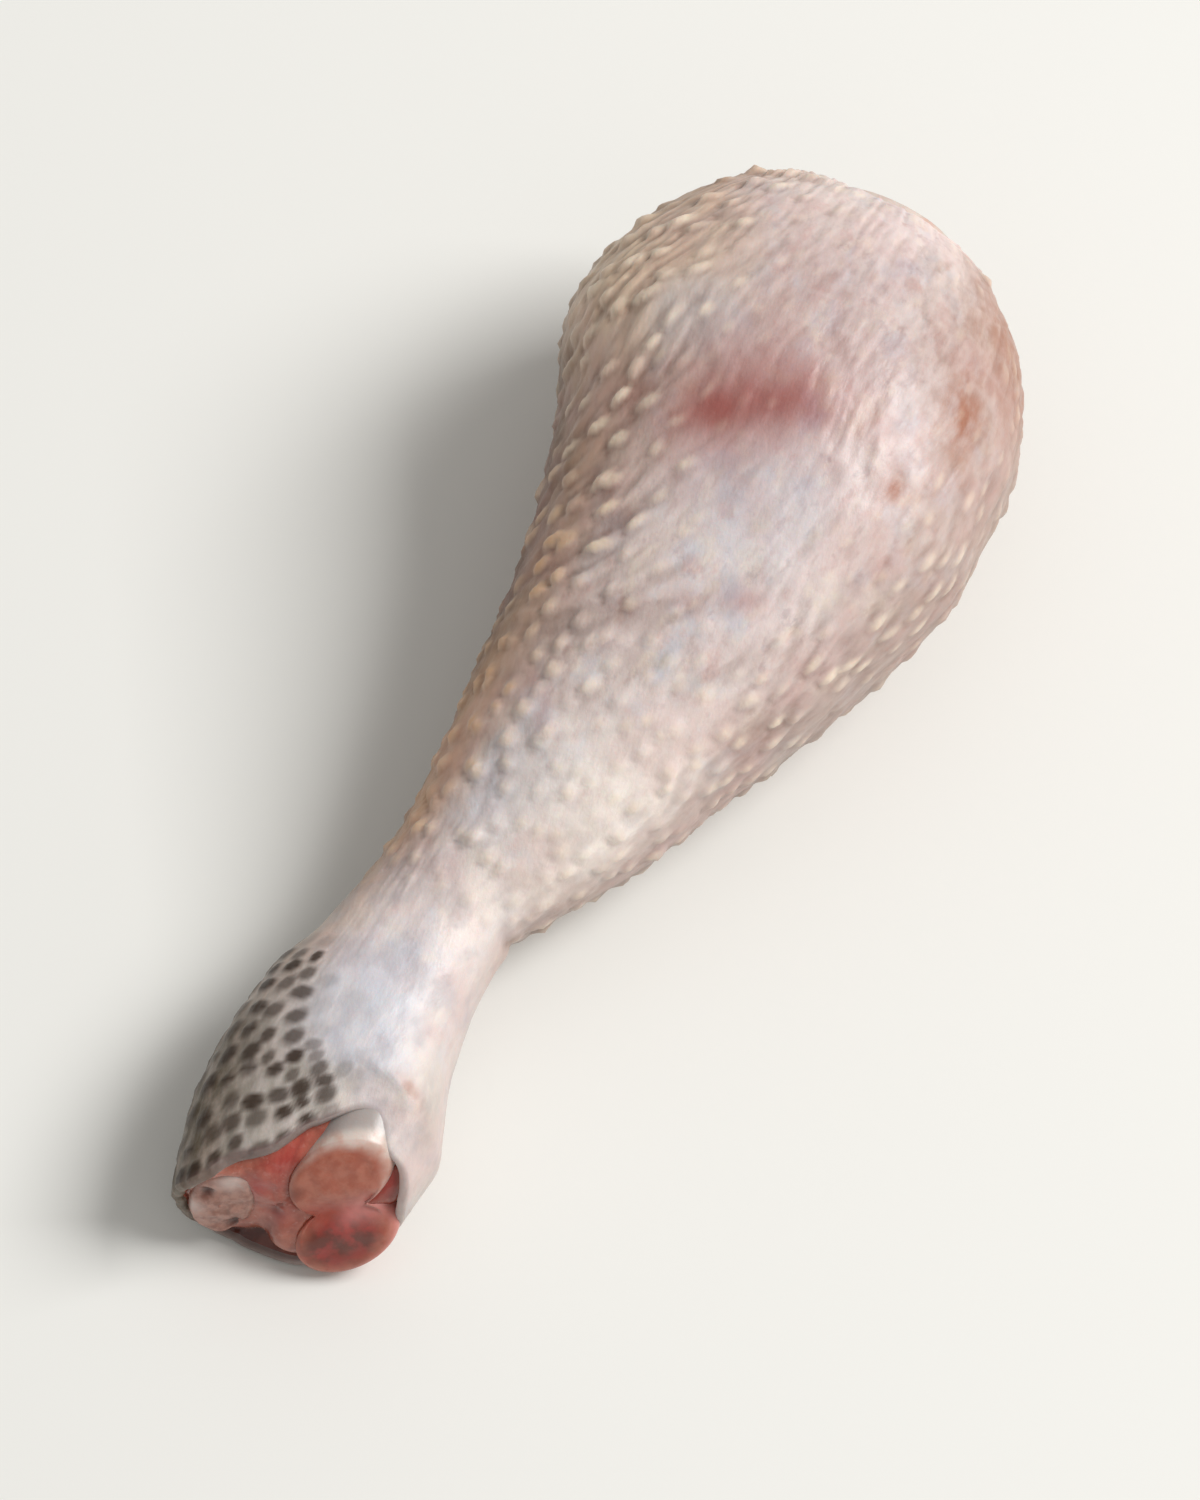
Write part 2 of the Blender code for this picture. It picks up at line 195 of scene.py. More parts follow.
# The rings along the bone: from, to and how many steps.
BONE_SPANS = ((-3.4, -2.2, 8), (-2.2, 17, 40), (17, 106, 40), (106, 129, 40))
FACE_RINGS = 22
CUT_DOME = 0.35  # how far each condyle's cut bulges
CUT_SADDLE = 0.5  # how deep the cut is between them
CUT_GRAIN = 0.14  # height of the fine lumps on it
CUT_PITS = [(-0.9, 12.4, 0.8, 0.6), (-7.6, 5, 1.6, 0.5), (-4.4, 6.6, 1, 0.4)]  # y, z, radius, strength

# The heel tendons. Each station: along, centre y, centre z, half depth, half width.
TENDON_STATIONS = np.array([
    [-8.9, 6.7, 9.6, 2.9, 5],
    [-8, 6.8, 9.8, 3.6, 5.8],
    [-2, 7.5, 9.9, 3.9, 5.5],
    [6, 8.8, 10, 3.6, 4.6],
    [14, 8.9, 10.4, 2.9, 3.5],
    [22, 7.6, 11, 2.2, 2.6],
    [32, 6, 12, 1.7, 2],
    [46, 3.6, 13.6, 1.2, 1.4],
])
TENDON_CUT_LEAN = 0.27
TENDON_CUT_HEEL = -0.42
TENDON_ROUNDNESS = 2.2
TENDON_COLUMNS = 72
TENDON_SPANS = ((-8, 22, 44), (22, 46, 24))
TENDON_DOME = 0.2  # how far their cut bulges
TENDON_TIP = 0.5  # how far they run on past the last ring, to a point
TENDON_CUT_LUMPS = (0.3, 0.24)  # how deep their cut lies, and how uneven it is
TENDON_CUT_ROWS = 6  # rings behind the cut that sink with it
# The holes are painted dark inside as shade.
TENDON_HOLES = [(8.4, 12, 0.75, 0.7), (5.1, 6, 0.9, 1.1)]  # y, z, radius and depth
TENDON_PALE = [(9.6, 9.2, 1.2), (6, 14, 1.5)]  # y, z and radius

# The flesh between them at the hock: pits, as y, z, radius and depth, which are painted dark as shade by
# their depth, and red places, as y, z and radius.
HOCK_BLEND = 4  # how strongly the flesh is drawn to the cut ends beside it
BLEND_REACH = (2.4, 1.6)  # how far off the bone and off the tendons it is drawn
FLESH_SINKS = (1.4, 0.8)  # how deep it goes under the bone and under the tendons
RIM_HOLD = (6, 0.12)  # how strongly it keeps to the skin's edge, and over what share of its width
HOCK_PITS = [(-0.6, 1.4, 2, 1.6), (2.4, 2, 2, 1), (5, 2.4, 1.6, 0.7), (1, 9.4, 0.8, 0.5)]
HOCK_RED = [(3, 13, 2.2), (1.6, 16, 2), (-10.2, 13, 2.4), (-11, 8.5, 2.4), (0.6, 9, 1.6)]

# Where the colours of the bone and the tendons change: a place along them, a height or a y, and a fade.
BONE_HEAD_FROM = (112, 8)
BONE_HOCK_END_TO = (60, 10)
CUT_OUTER_SIDE_FROM = (11.5, 4)
CUT_SHIN_SIDE_TO = (-4.5, 3)
TENDON_CUT_TO = (2, 6)

# Where the masks of the skin change: a place along the leg or an angle from the heel, and a fade.
HOCK_SKIN_TO = (36, 16)
BLOTCHES_TO = (44, 14)
DARK_GROUND_TO = (17, 12)
OLIVE_TO = (76, 40)
FOLDS_FROM = (20, 15)
FOLDS_MORE_FROM = (50, 22)
DARK_FOLDS_FROM = (48, 24)

# Directions round the leg and widths: its top, where the cut skin is dark, and where the flesh below it is
# painted near black as the shadow under the hock.
LEG_TOP = (110, 58)
DARK_EDGES = [(74, 34), (285, 42)]
UNDER_HOCK_SHADOW = (300, 46)

# Broad areas of colour on the skin: mask, along, angle round the leg, length, angle and strength.
SKIN_AREAS = [
    ("cream", 45, 124, 17, 44, 1),
    ("tan", 49, 28, 15, 24, 1),
    ("tan", 64, 44, 20, 20, 0.4),
    # painted shade along the heel side of the leg
    ("heel_shade", 73, 6, 23, 32, 1),
    ("straw", 106, 42, 12, 34, 1),
    # a ruddy brown on the shin side near the knee, partly the skin's own tone and partly painted shadow
    ("ruddy_and_shadow", 102, 160, 26, 46, 0.7),
    # painted shadow near the knee
    ("ruddy_and_shadow", 113, 150, 13, 44, 1),
    # painted shadow near the knee, grey-mauve
    ("plum_and_shadow", 109, 98, 11, 46, 0.38),
    ("ground", 8, 150, 9, 13, 0.5),
    ("blue", 15, 96, 12, 30, 1),
    ("blue", 46, 84, 10, 22, 0.45),
    ("blue", 84, 98, 9, 18, 0.5),
    ("blue", 101, 68, 5, 14, 0.6),
]

# Marks on the skin: mask, along, angle round the leg, reach across the leg and along it, tilt and strength.
SKIN_MARKS = [
    ("bruise", 93.4, 86, 11.5, 6.4, 27, 0.88),
    ("bruise", 91.6, 80, 7.5, 4.6, 22, 0.97),
    ("bruise", 94.8, 92, 9, 4.6, 30, 0.9),
    ("bruise", 73.8, 112, 2.6, 1.5, 25, 0.45),
    ("bruise", 71, 98, 2, 1.4, 0, 0.3),
    ("warm", 105, 140, 3.4, 5.6, 20, 0.9),
    ("warm", 92.6, 129, 1.3, 1.4, 0, 1),
    ("warm", 8, 128, 1.8, 2.4, 0, 0.8),
    ("warm", 119, 160, 7, 9, 0, 0.7),
    ("warm", 70, 130, 5, 3, 30, 0.22),
    ("warm", 62, 150, 6, 3, 30, 0.2),
    ("plum_and_shadow", 67, 80, 3, 3, 0, 0.6),
    ("plum_and_shadow", 61, 62, 4, 4, 0, 0.4),
    ("plum_and_shadow", 74, 60, 5, 5, 0, 0.2),
    ("plum_and_shadow", 92, 60, 4, 5, 0, 0.4),
    ("plum_and_shadow", 34, 52, 3, 4, 0, 0.3),
    ("shade", 71.7, 129, 0.45, 0.5, 0, 0.8),
]

# The masks that go on over the cut edge of the skin, and all of them.
EDGE_MASKS = ("round", "heel", "top", "hock", "rosy", "ground", "olive", "cream", "blue")
MASKS = EDGE_MASKS + (
    "tan", "straw", "ruddy_and_shadow", "heel_shade", "plum_and_shadow", "fold_shade", "painted_sheen", "blotch", "scale", "warm",
    "bruise", "shade", "tip", "amber", "edge", "pale", "dark", "cut_hock", "red",
)

SEED = 11


def smooth_through(stations, along):
    """The columns after the first of a station table, at each value of along, on a smooth curve.

    The curve levels off towards the last station, with half the slope of the last span.
    """
    xs, ys = stations[:, 0], stations[:, 1:]
    slopes = np.empty_like(ys)
    slopes[1:-1] = (ys[2:] - ys[:-2]) / (xs[2:] - xs[:-2])[:, None]
    slopes[0] = (ys[1] - ys[0]) / (xs[1] - xs[0])
    slopes[-1] = 0.5 * (ys[-1] - ys[-2]) / (xs[-1] - xs[-2])
    along = np.atleast_1d(along)
    i = np.clip(np.searchsorted(xs, along, side="right") - 1, 0, len(xs) - 2)
    span = (xs[i + 1] - xs[i])[:, None]
    t = (along[:, None] - xs[i][:, None]) / span
    return (
        (2 * t**3 - 3 * t**2 + 1) * ys[i]
        + (t**3 - 2 * t**2 + t) * span * slopes[i]
        + (3 * t**2 - 2 * t**3) * ys[i + 1]
        + (t**3 - t**2) * span * slopes[i + 1]
    )


def ease(value):
    """0 below 0, 1 above 1, and a smooth step between."""
    t = np.clip(value, 0, 1)
    return t * t * (3 - 2 * t)


def bell(value):
    return np.exp(-value * value)


def angles(count):
    return np.linspace(0, 2 * math.pi, count, endpoint=False)


def leg_turns():
    """The angles of the leg's columns, closer together on the side that shows the most."""
    degrees, crowd = math.radians(FINE_SIDE[0]), FINE_SIDE[1]
    fine = np.linspace(0, 2 * math.pi, 20001)
    share = fine + crowd * (np.sin(fine - degrees) + math.sin(degrees))
    return np.interp(angles(COLUMNS), share, fine)


def angle_between(turn, degrees):
    """Smallest angle from each turn to a direction, in degrees."""
    return np.abs((np.degrees(turn) - degrees + 180) % 360 - 180)


def facing(turn, degrees, width):
    """1 in one direction round the leg, falling off to 0 at about a width to each side."""
    return bell(angle_between(turn, degrees) / width)


def beyond(value, start, length):
    """0 up to start, then rising to 1 over a length."""
    return ease((value - start) / length)


def short_of(value, end, length):
    """1 at first, falling over a length to 0 at end."""
    return ease((end - value) / length)


def turned(a, b, degrees):
    """Two measures square to each other, in directions turned by an angle."""
    lean = math.radians(degrees)
    cos, sin = math.cos(lean), math.sin(lean)
    return a * cos + b * sin, b * cos - a * sin


def between(pair, share):
    """From the first of a pair at share 0 to the second at share 1."""
    return np.interp(share, (0, 1), pair)


def round_section(turn, half_y, half_z, power):
    """Points of a rounded oval, which is an ellipse at power 2 and boxier above."""
    y = half_y * np.sign(np.cos(turn)) * np.abs(np.cos(turn)) ** (2 / power)
    z = half_z * np.sign(np.sin(turn)) * np.abs(np.sin(turn)) ** (2 / power)
    return y, z


def noise(points, seed):
    """Smooth noise from -1 to 1 at each point. Its lumps are one unit apart."""
    cell = np.floor(points).astype(np.int64)
    part = points - cell
    part = part * part * (3 - 2 * part)
    total = np.zeros(points.shape[:-1])
    for corner in itertools.product((0, 1), repeat=3):
        weight = np.prod(np.where(corner, part, 1 - part), axis=-1)
        x, y, z = np.moveaxis(cell + corner, -1, 0)
        mixed = (x * 73856093) ^ (y * 19349663) ^ (z * 83492791) ^ (seed * 2654435761)
        mixed = ((mixed ^ (mixed >> 13)) * 1274126177) & 0x7FFFFFFF
        mixed = ((mixed ^ (mixed >> 15)) * 40503) & 0xFFFF
        total += weight * (mixed / 0x7FFF - 1)
    return total


def fractal(points, seed, octaves=3):
    """Noise with finer lumps on the coarse ones."""
    return sum(noise(points * 2**n, seed + n) / 2**n for n in range(octaves))


def muscle_relief(along, turn):
    relief = np.zeros(np.broadcast(along, turn).shape)
    for x, degrees, length, width, height in MUSCLES:
        off = ((along - x) / length) ** 2 + (angle_between(turn, degrees) / width) ** 2
        relief = relief + height * np.exp(-off)
    return relief


def leg_line():
    """For each ring of the skin: along, back edge, shin edge, height of the middle and half height."""
    first, last = LEG_STATIONS[0, 0], LEG_STATIONS[-1, 0]
    along = np.linspace(first, last, round((last - first) / RING_STEP) + 1)
    rows = np.column_stack([along, smooth_through(LEG_STATIONS, along)])
    back, shin, middle, half = rows[-1, 1:]
    centre, reach = (back + shin) / 2, (back - shin) / 2
    turns = round(KNEE_REACH * KNEE_RIM_ANGLE / RING_STEP)
    angle = np.linspace(0, KNEE_RIM_ANGLE, turns + 1)[1:]
    left = np.cos(angle)
    y = centre + (KNEE_CENTRE[0] - centre) * (1 - left)
    z = middle + (KNEE_CENTRE[1] - middle) * (1 - left)
    x = last + KNEE_REACH * np.sin(angle)
    knee = np.column_stack([x, y + reach * left, y - reach * left, z, half * left])
    return np.vstack([rows, knee])


def hock_rim(turn):
    """Place along the leg of the skin's edge at the hock, at each angle."""
    around = np.vstack([HOCK_RIM - [360, 0], HOCK_RIM, HOCK_RIM + [360, 0]])
    return smooth_through(around, np.degrees(turn))[:, 0]


def unit(vectors):
    return vectors / np.maximum(np.linalg.norm(vectors, axis=-1, keepdims=True), 1e-9)


class Skin:
    """The smooth leg as a grid of rings by columns, with what its relief and masks need at each point."""

    def __init__(self):
        line = leg_line()
        self.turn = leg_turns()[None, :]
        self.along = line[:, :1]
        back, shin, middle, half = (line[:, k : k + 1] for k in range(1, 5))
        extra, boxy_from, boxy_fade = HOCK_BOXINESS
        boxy = LEG_ROUNDNESS + extra * short_of(self.along, boxy_from, boxy_fade)
        relief = muscle_relief(self.along, self.turn)
        y, z = round_section(self.turn, (back - shin) / 2 + relief, half + relief, boxy)
        slant = short_of(self.along, CUT_FADE + LEG_STATIONS[0, 0], CUT_FADE)
        x = self.along + slant * (hock_rim(self.turn[0])[None, :] - LEG_STATIONS[0, 0])
        self.points = np.stack([x, y + (back + shin) / 2, z + middle], axis=-1)
        down_leg = -np.gradient(self.points, axis=0)
        round_leg = np.roll(self.points, -1, axis=1) - np.roll(self.points, 1, axis=1)
        self.to_hock = unit(down_leg)
        self.normal = unit(np.cross(round_leg, -down_leg))
        self.step_round = np.linalg.norm(round_leg, axis=-1) / 2
        top = int(np.argmin(np.abs(self.turn[0] - math.pi / 2)))
        self.arc = np.cumsum(self.step_round, axis=1)
        self.arc = self.arc - self.arc[:, top : top + 1]
        around = self.step_round.sum(axis=1, keepdims=True)
        self.arc = (self.arc + around / 2) % around - around / 2
        self.relief = np.zeros(self.points.shape[:2])
        self.masks = {name: np.zeros(self.points.shape[:2]) for name in MASKS}

    def window(self, i, j, reach):
        """Rows and columns of the grid within reach of a point, in millimetres."""
        rows = math.ceil(reach / RING_STEP)
        columns = math.ceil(reach / self.step_round[i, j])
        i_range = np.arange(max(0, i - rows), min(len(self.along), i + rows + 1))
        j_range = np.arange(j - columns, j + columns + 1) % COLUMNS
        return np.ix_(i_range, j_range)

    def local(self, i, j, window, degrees):
        """Distance from a point down the leg and across it, along a direction turned towards the heel."""
        ahead = self.to_hock[i, j]
        aside = np.cross(ahead, self.normal[i, j])
        off = self.points[window] - self.points[i, j]
        return turned(off @ ahead, off @ aside, degrees)


def most(target, window, value):
    """Raises a part of a mask, or with ... the whole of it, where the value is higher."""
    target[window] = np.maximum(target[window], value)


def follicle_lean(turn):
    """Degrees that the follicles and the skin's fine folds turn from the leg's line towards the heel."""
    return FOLLICLE_LEAN * facing(turn, *LEAN_MOST)


def area(along, turn, centre, degrees, length, width):
    """1 in the middle of a rounded area of the skin, falling off to 0 at about its length and width."""
    return bell(((along - centre) / length) ** 2 + (angle_between(turn, degrees) / width) ** 2)


def follicle_strength(along, turn):
    """How much a follicle stands out: most at the back, least on top and on the bare patch."""
    to_knee = beyond(along, *SPARSE_FROM)
    top = 1 - (0.42 + 0.28 * to_knee) * facing(turn, *THIN_ON_TOP) ** 1.4
    shin = 1 - 0.38 * to_knee * facing(turn, *THIN_ON_SHIN)
    bare = 1 - 0.92 * area(along, turn, *SMOOTH_TOP)
    return top * shin * bare * beyond(along, FOLLICLES_FROM, FADE_IN)


def add_follicles(skin, draw):
    """Rows of follicles, each nudged off its place."""
    x, row = FOLLICLES_FROM, 0
    while x < FOLLICLES_TO:
        slender = beyond(x, PLUMP_AT, SLENDER_AT - PLUMP_AT)
        row += 1
        x += between(FOLLICLE_ROW_STEPS, slender)
        i_row = int(np.argmin(np.abs(skin.along[:, 0] - x)))
        around = skin.step_round[i_row].sum()
        count = round(around / between(FOLLICLES_APART, slender))
        shift = draw.uniform(-0.2, 0.2)
        for k in range(count):
            i = int(np.clip(i_row + round(draw.normal(0, 0.95) / RING_STEP), 2, len(skin.along) - 3))
            share = (k + 0.5 * (row % 2) + shift + draw.normal(0, 0.19)) / count
            j = int(np.searchsorted(np.cumsum(skin.step_round[i]), (share % 1) * around)) % COLUMNS
            add_follicle(skin, i, j, draw)


def add_follicle(skin, i, j, draw):
    """A raised, pale, rice-shaped follicle that points to the hock, with a shaded hollow under its tip."""
    along, turn = skin.along[i, 0], skin.turn[0, j]
    strength = follicle_strength(along, turn) * draw.uniform(0.6, 1.2)
    slender = beyond(along, PLUMP_AT, SLENDER_AT - PLUMP_AT)
    long = draw.uniform(0.68, 1.18) * between(FOLLICLE_LENGTHS, slender)
    long *= 0.65 + 0.35 * min(strength, 1)
    wide = draw.uniform(0.8, 1.15) * between(FOLLICLE_WIDTHS, slender)
    window = skin.window(i, j, 1.1 * long)
    lean = follicle_lean(turn) * (0.8 + 0.45 * beyond(along, *LEAN_MORE_FROM))
    ahead, aside = skin.local(i, j, window, lean + draw.normal(0, 8))
    t, s = ahead / long, aside / wide
    grain = short_of(np.hypot(2 * t, 2 * s), *GRAIN_EDGE)
    rise = 0.25 + 0.75 * beyond(t, -0.5, 0.8)
    hollow = bell((t - 0.6) / 0.12) * bell(1.6 * s)
    height = FOLLICLE_HEIGHT * strength * (0.92 + 0.08 * slender)
    skin.relief[window] += height * (grain * rise - 0.35 * hollow)
    fade = ease((along - FOLLICLES_FROM + TIPS_EARLIER) / FADE_IN)
    bold = float(max(area(along, turn, *place) for place in BOLD_TIPS))
    rod = short_of(np.hypot(1.9 * t, 2.1 * s), *ROD_EDGE) * beyond(t, -0.75, 0.7)
    dot = short_of(np.hypot(2.3 * (t - 0.08), 2.2 * s), *DOT_EDGE)
    tip = (dot + (rod - dot) * slender * min(1, strength)) * fade * min(1, 0.4 + 0.75 * strength)
    tip = tip * draw.uniform(0.45, 1.05)
    tip = tip * (0.35 if draw.uniform() < 0.15 else 1)
    tip = tip * (0.8 - 0.15 * slender + 0.9 * bold)
    amber = float(area(along, turn, *AMBER_TIPS)) * draw.uniform(0.4, 1)
    most(skin.masks["tip"], window, tip)
    most(skin.masks["amber"], window, tip * amber)
    beside = 0.7 * bell((np.abs(s) - 0.72) / 0.26) * bell((t - 0.1) / 0.45)
    shade = min(1, 1.1 * strength) * (0.4 + 0.4 * slender + 0.4 * bold)
    most(skin.masks["shade"], window, np.maximum(hollow, beside) * shade)


def scale_cover(along, turn):
    """1 where the dark scales grow, behind the hock, and 0 away from them."""
    reach, narrow_from, narrowing = SCALES_REACH
    round_fade, along_fade = SCALES_FADE
    edge = reach - narrowing * np.maximum(along - narrow_from, 0)
    across = short_of(angle_between(turn, SCALES_FACE), edge, round_fade)
    return across * short_of(along, SCALES_TO, along_fade)


def add_scales(skin, draw):
    """Small dark scales behind the hock, in staggered rows on paler skin."""
    first = skin.along[0, 0]
    for row, x in enumerate(np.arange(first + 0.8, SCALES_TO, SCALE_ROW_STEP)):
        i_row = int(np.argmin(np.abs(skin.along[:, 0] - x)))
        around = skin.step_round[i_row].sum()
        count = round(around / SCALES_APART)
        for k in range(count):
            i = int(np.clip(i_row + round(draw.normal(0, 0.3) / RING_STEP), 0, len(skin.along) - 1))
            share = (k + 0.5 * (row % 2) + draw.normal(0, 0.1)) / count
            j = int(np.searchsorted(np.cumsum(skin.step_round[i]), share * around)) % COLUMNS
            cover = float(scale_cover(skin.along[i, 0], skin.turn[0, j])) * draw.uniform(0.7, 1.2)
            size = draw.uniform(0.76, 1.18)
            lean = SCALE_LEAN + draw.normal(0, 14)
            if cover < 0.05:
                continue
            window = skin.window(i, j, SCALE_LENGTH)
            ahead, aside = skin.local(i, j, window, lean)
            off = np.hypot(ahead / (SCALE_LENGTH * size / 2), aside / (SCALE_WIDTH * size / 2))
            skin.relief[window] += SCALE_HEIGHT * cover * short_of(off, *SCALE_RELIEF_EDGE)
            most(skin.masks["scale"], window, min(cover, 1) * short_of(off, *SCALE_COLOUR_EDGE))


def over_top_angle(turn):
    """Degrees from the top of the leg, below 0 towards the heel and above 0 towards the shin."""
    return (np.degrees(turn) - 90 + 180) % 360 - 180


def add_wrinkles(skin):
    """Fine folds along the follicles, soft lumps of fat under the skin and a crease above the hock, with
    painted shade in the hollows of the folds and in the crease, and a painted sheen on the streaks of the
    bare patch.
    """
    bend = 1.8 * noise(skin.points / 8, SEED + 1) + 0.5 * noise(skin.points / 2.5, SEED + 2)
    across = skin.arc - np.tan(np.radians(follicle_lean(skin.turn))) * (skin.along - SLENDER_AT) + bend
    flat = np.zeros_like(skin.arc)
    folds = fractal(np.stack([skin.along / 4.5 + flat, across / 1.3, flat], axis=-1), SEED, 2)
    folds = folds * ease((180 - np.abs(over_top_angle(skin.turn))) / 12)
    streaks = np.stack([(skin.along + 0.25 * across + bend) / 1.2, across / 6, flat], axis=-1)
    streaks = fractal(streaks, SEED + 3, 2)
    lumps = fractal(skin.points / 6.5, SEED + 5, 2)
    pebbles = fractal(skin.points / 2.6, SEED + 7, 2)
    fine = noise(skin.points / 0.9, SEED + 9)
    off_hock = beyond(skin.along, *FOLDS_FROM) * (0.45 + 0.55 * beyond(skin.along, *FOLDS_MORE_FROM))
    smooth = area(skin.along, skin.turn, *SMOOTH_TOP)
    off_smooth = 0.45 + 0.55 * follicle_strength(skin.along, skin.turn)
    folded = FOLD_HEIGHT * folds * off_hock * off_smooth + LEAST_FOLD_HEIGHT * folds
    skin.relief += folded + LUMP_HEIGHT * lumps + FINE_HEIGHT * fine
    skin.relief += STREAK_HEIGHT * streaks * smooth + PEBBLE_HEIGHT * pebbles * (1 - smooth)
    along, degrees, length, width, depth = CREASE
    crease = bell((skin.along - along - 2 * lumps) / length) * facing(skin.turn, degrees, width)
    skin.relief -= depth * crease
    most(skin.masks["shade"], ..., 0.8 * crease)
    # Painted shade in the hollows of the folds, stronger towards the knee.
    darker = 0.4 + 0.6 * beyond(skin.along, *DARK_FOLDS_FROM)
    skin.masks["fold_shade"] = ease(0.15 - folds) * off_smooth * darker
    # A painted sheen on the raised streaks of the bare patch.
    skin.masks["painted_sheen"] = ease(1.6 * streaks - 0.1) * smooth


def add_regions(skin):
    """The masks for the skin's broad colours. The one named round is the angle from the top, as 0 to 1."""
    masks = skin.masks
    wander = fractal(skin.points / 13, SEED + 20, 3)
    ragged = np.exp(0.22 * fractal(skin.points / 7, SEED + 25, 4))
    masks["round"] = np.clip(np.abs(over_top_angle(skin.turn) + 9 * wander) / 120, 0, 1)
    masks["heel"][:] = ease(0.5 + 1.5 * np.cos(skin.turn))
    masks["top"][:] = facing(skin.turn, *LEG_TOP)
    near_rim = 0.35 + 0.65 * short_of(skin.along, *DARK_GROUND_TO)
    masks["ground"] = scale_cover(skin.along, skin.turn) * near_rim
    masks["olive"] = masks["ground"] * short_of(angle_between(skin.turn, 0), *OLIVE_TO)
    hock_to, hock_fade = HOCK_SKIN_TO
    masks["hock"] = ease((hock_to - skin.along - 5 * wander) / hock_fade)
    masks["rosy"] = ease(0.3 + 1.3 * fractal(skin.points / 7, SEED + 30, 4))
    clouds = fractal(skin.points / 3.2, SEED + 35, 4)
    masks["blotch"] = ease(0.1 + 1.5 * clouds) * short_of(skin.along, *BLOTCHES_TO)
    for name, along, degrees, length, width, strength in SKIN_AREAS:
        value = strength * area(skin.along, skin.turn, along, degrees, length, width) ** ragged
        most(masks[name], ..., value)


def add_marks(skin):
    ragged = 1 + 0.16 * fractal(skin.points / 3.5, SEED + 40, 4)
    for name, along, degrees, across_reach, along_reach, tilt, strength in SKIN_MARKS:
        column = int(np.argmin(angle_between(skin.turn[0], degrees)))
        across = skin.arc - skin.arc[:, column : column + 1]
        across, down = turned(across, skin.along - along, tilt)
        value = strength * bell(np.hypot(across / across_reach, down / along_reach) * ragged)
        most(skin.masks[name], ..., value)
    skin.masks["tip"] *= 1 - 0.75 * skin.masks["bruise"]


def made_skin():
    """The grid with its relief and masks, pressed flat where the leg lies."""
    draw = np.random.default_rng(SEED)
    skin = Skin()
    add_follicles(skin, draw)
    add_scales(skin, draw)
    add_wrinkles(skin)
    add_regions(skin)
    add_marks(skin)
    skin.outer = skin.points + skin.normal * (skin.relief - SKIN_SET_IN)[..., None]
    skin.outer[..., 2] = np.maximum(skin.outer[..., 2], 0)
    return skin


def inward(ring):
    """Unit vectors from each point of a ring towards its middle, square to X."""
    spokes = ring.mean(axis=0) - ring
    spokes[:, 0] = 0
    return unit(spokes)


def lip_rings(rim, out):
    """The rounded cut edge of the skin, from outside to the flesh. Out is -1 at the hock, 1 at the knee."""
    towards = inward(rim)
    rings = []
    for share in np.linspace(0, 1, LIP_RINGS + 1)[1:]:
        ring = rim + towards * SKIN * (1 - math.cos(math.pi * share)) / 2
        ring[:, 0] += out * SKIN_LIP * math.sin(math.pi * share)
        rings.append(ring)
    for share in CURL_SHARES:
        ring = rings[LIP_RINGS - 1] + towards * 0.25 * share
        ring[:, 0] -= out * SKIN_CURL * share
        rings.append(ring)
    return rings


def spot(points, y, z, radius):
    """1 at a place on a cut, falling off to 0 at about the radius."""
    return bell(np.hypot(points[..., 1] - y, points[..., 2] - z) / radius)


def hock_face(rim):
    """The cut flesh at the hock, from the skin to the middle. It meets the bone and the tendons."""
    lip = lip_rings(rim, -1)
    centre = np.array(HOCK_MIDDLE)
    bone_reach, tendon_reach = BLEND_REACH
    bone_sink, tendon_sink = FLESH_SINKS
    hold, hold_share = RIM_HOLD
    rings = []
    for share in np.linspace(0, 1, HOCK_RINGS + 1)[1:-1]:
        ring = lip[-1] + (centre - lip[-1]) * share
        bone_x, from_bone = bone_cut(ring)
        tendon_x, from_tendon = tendon_cut(ring)
        near_bone = bell(np.maximum(from_bone, 0) / bone_reach) * HOCK_BLEND
        near_tendon = bell(np.maximum(from_tendon, 0) / tendon_reach) * HOCK_BLEND
        own = 1 + hold * bell(share / hold_share)
        ring[:, 0] *= own
        ring[:, 0] += near_bone * bone_x + near_tendon * (tendon_x + 0.5)
        ring[:, 0] /= own + near_bone + near_tendon
        ring[:, 0] += bone_sink * ease(-from_bone) + tendon_sink * ease(-from_tendon)
        ring[:, 0] += FLESH_LUMPS * fractal(ring / 2.4, SEED + 50, 3) * math.sin(math.pi * share) ** 0.5
        for y, z, radius, depth in HOCK_PITS:
            ring[:, 0] += depth * spot(ring, y, z, radius)
        rings.append(ring)
    return lip, rings, centre


def hock_masks(rings):
    """Where the cut flesh at the hock is painted dark as shade in its pits, and where it is red."""
    grid = np.array(rings)
    dark, red = np.zeros((2, *grid.shape[:2]))
    for y, z, radius, depth in HOCK_PITS:
        dark = np.maximum(dark, min(1, depth) * spot(grid, y, z, 1.2 * radius))
    for place in HOCK_RED:
        red = np.maximum(red, spot(grid, *place))
    return dark, red


def bone_cut(points):
    """At each point's Y and Z: where along the leg the bone is cut, and how far off the bone that is.

    The distance is below 0 on the bone.
    """
    y0, z0, depth, width, roll, apart = BONE_STATIONS[1, 1:]
    y, z = points[..., 1] - y0, points[..., 2] - z0
    x = BONE_STATIONS[0, 0] + BONE_CUT_LEAN * z + BONE_CUT_HEEL * y
    y, z = turned(y, z, -roll)
    off = np.hypot(y / depth, (np.abs(z) - width * apart) / (width * (1 - apart)))
    return x, (off - 1) * depth


def tendon_cut(points):
    """The same for the tendons."""
    y0, z0, depth, width = TENDON_STATIONS[1, 1:]
    y, z = points[..., 1] - y0, points[..., 2] - z0
    x = TENDON_STATIONS[0, 0] + TENDON_CUT_LEAN * z + TENDON_CUT_HEEL * y
    return x, (np.hypot(y / depth, z / width) - 1) * depth


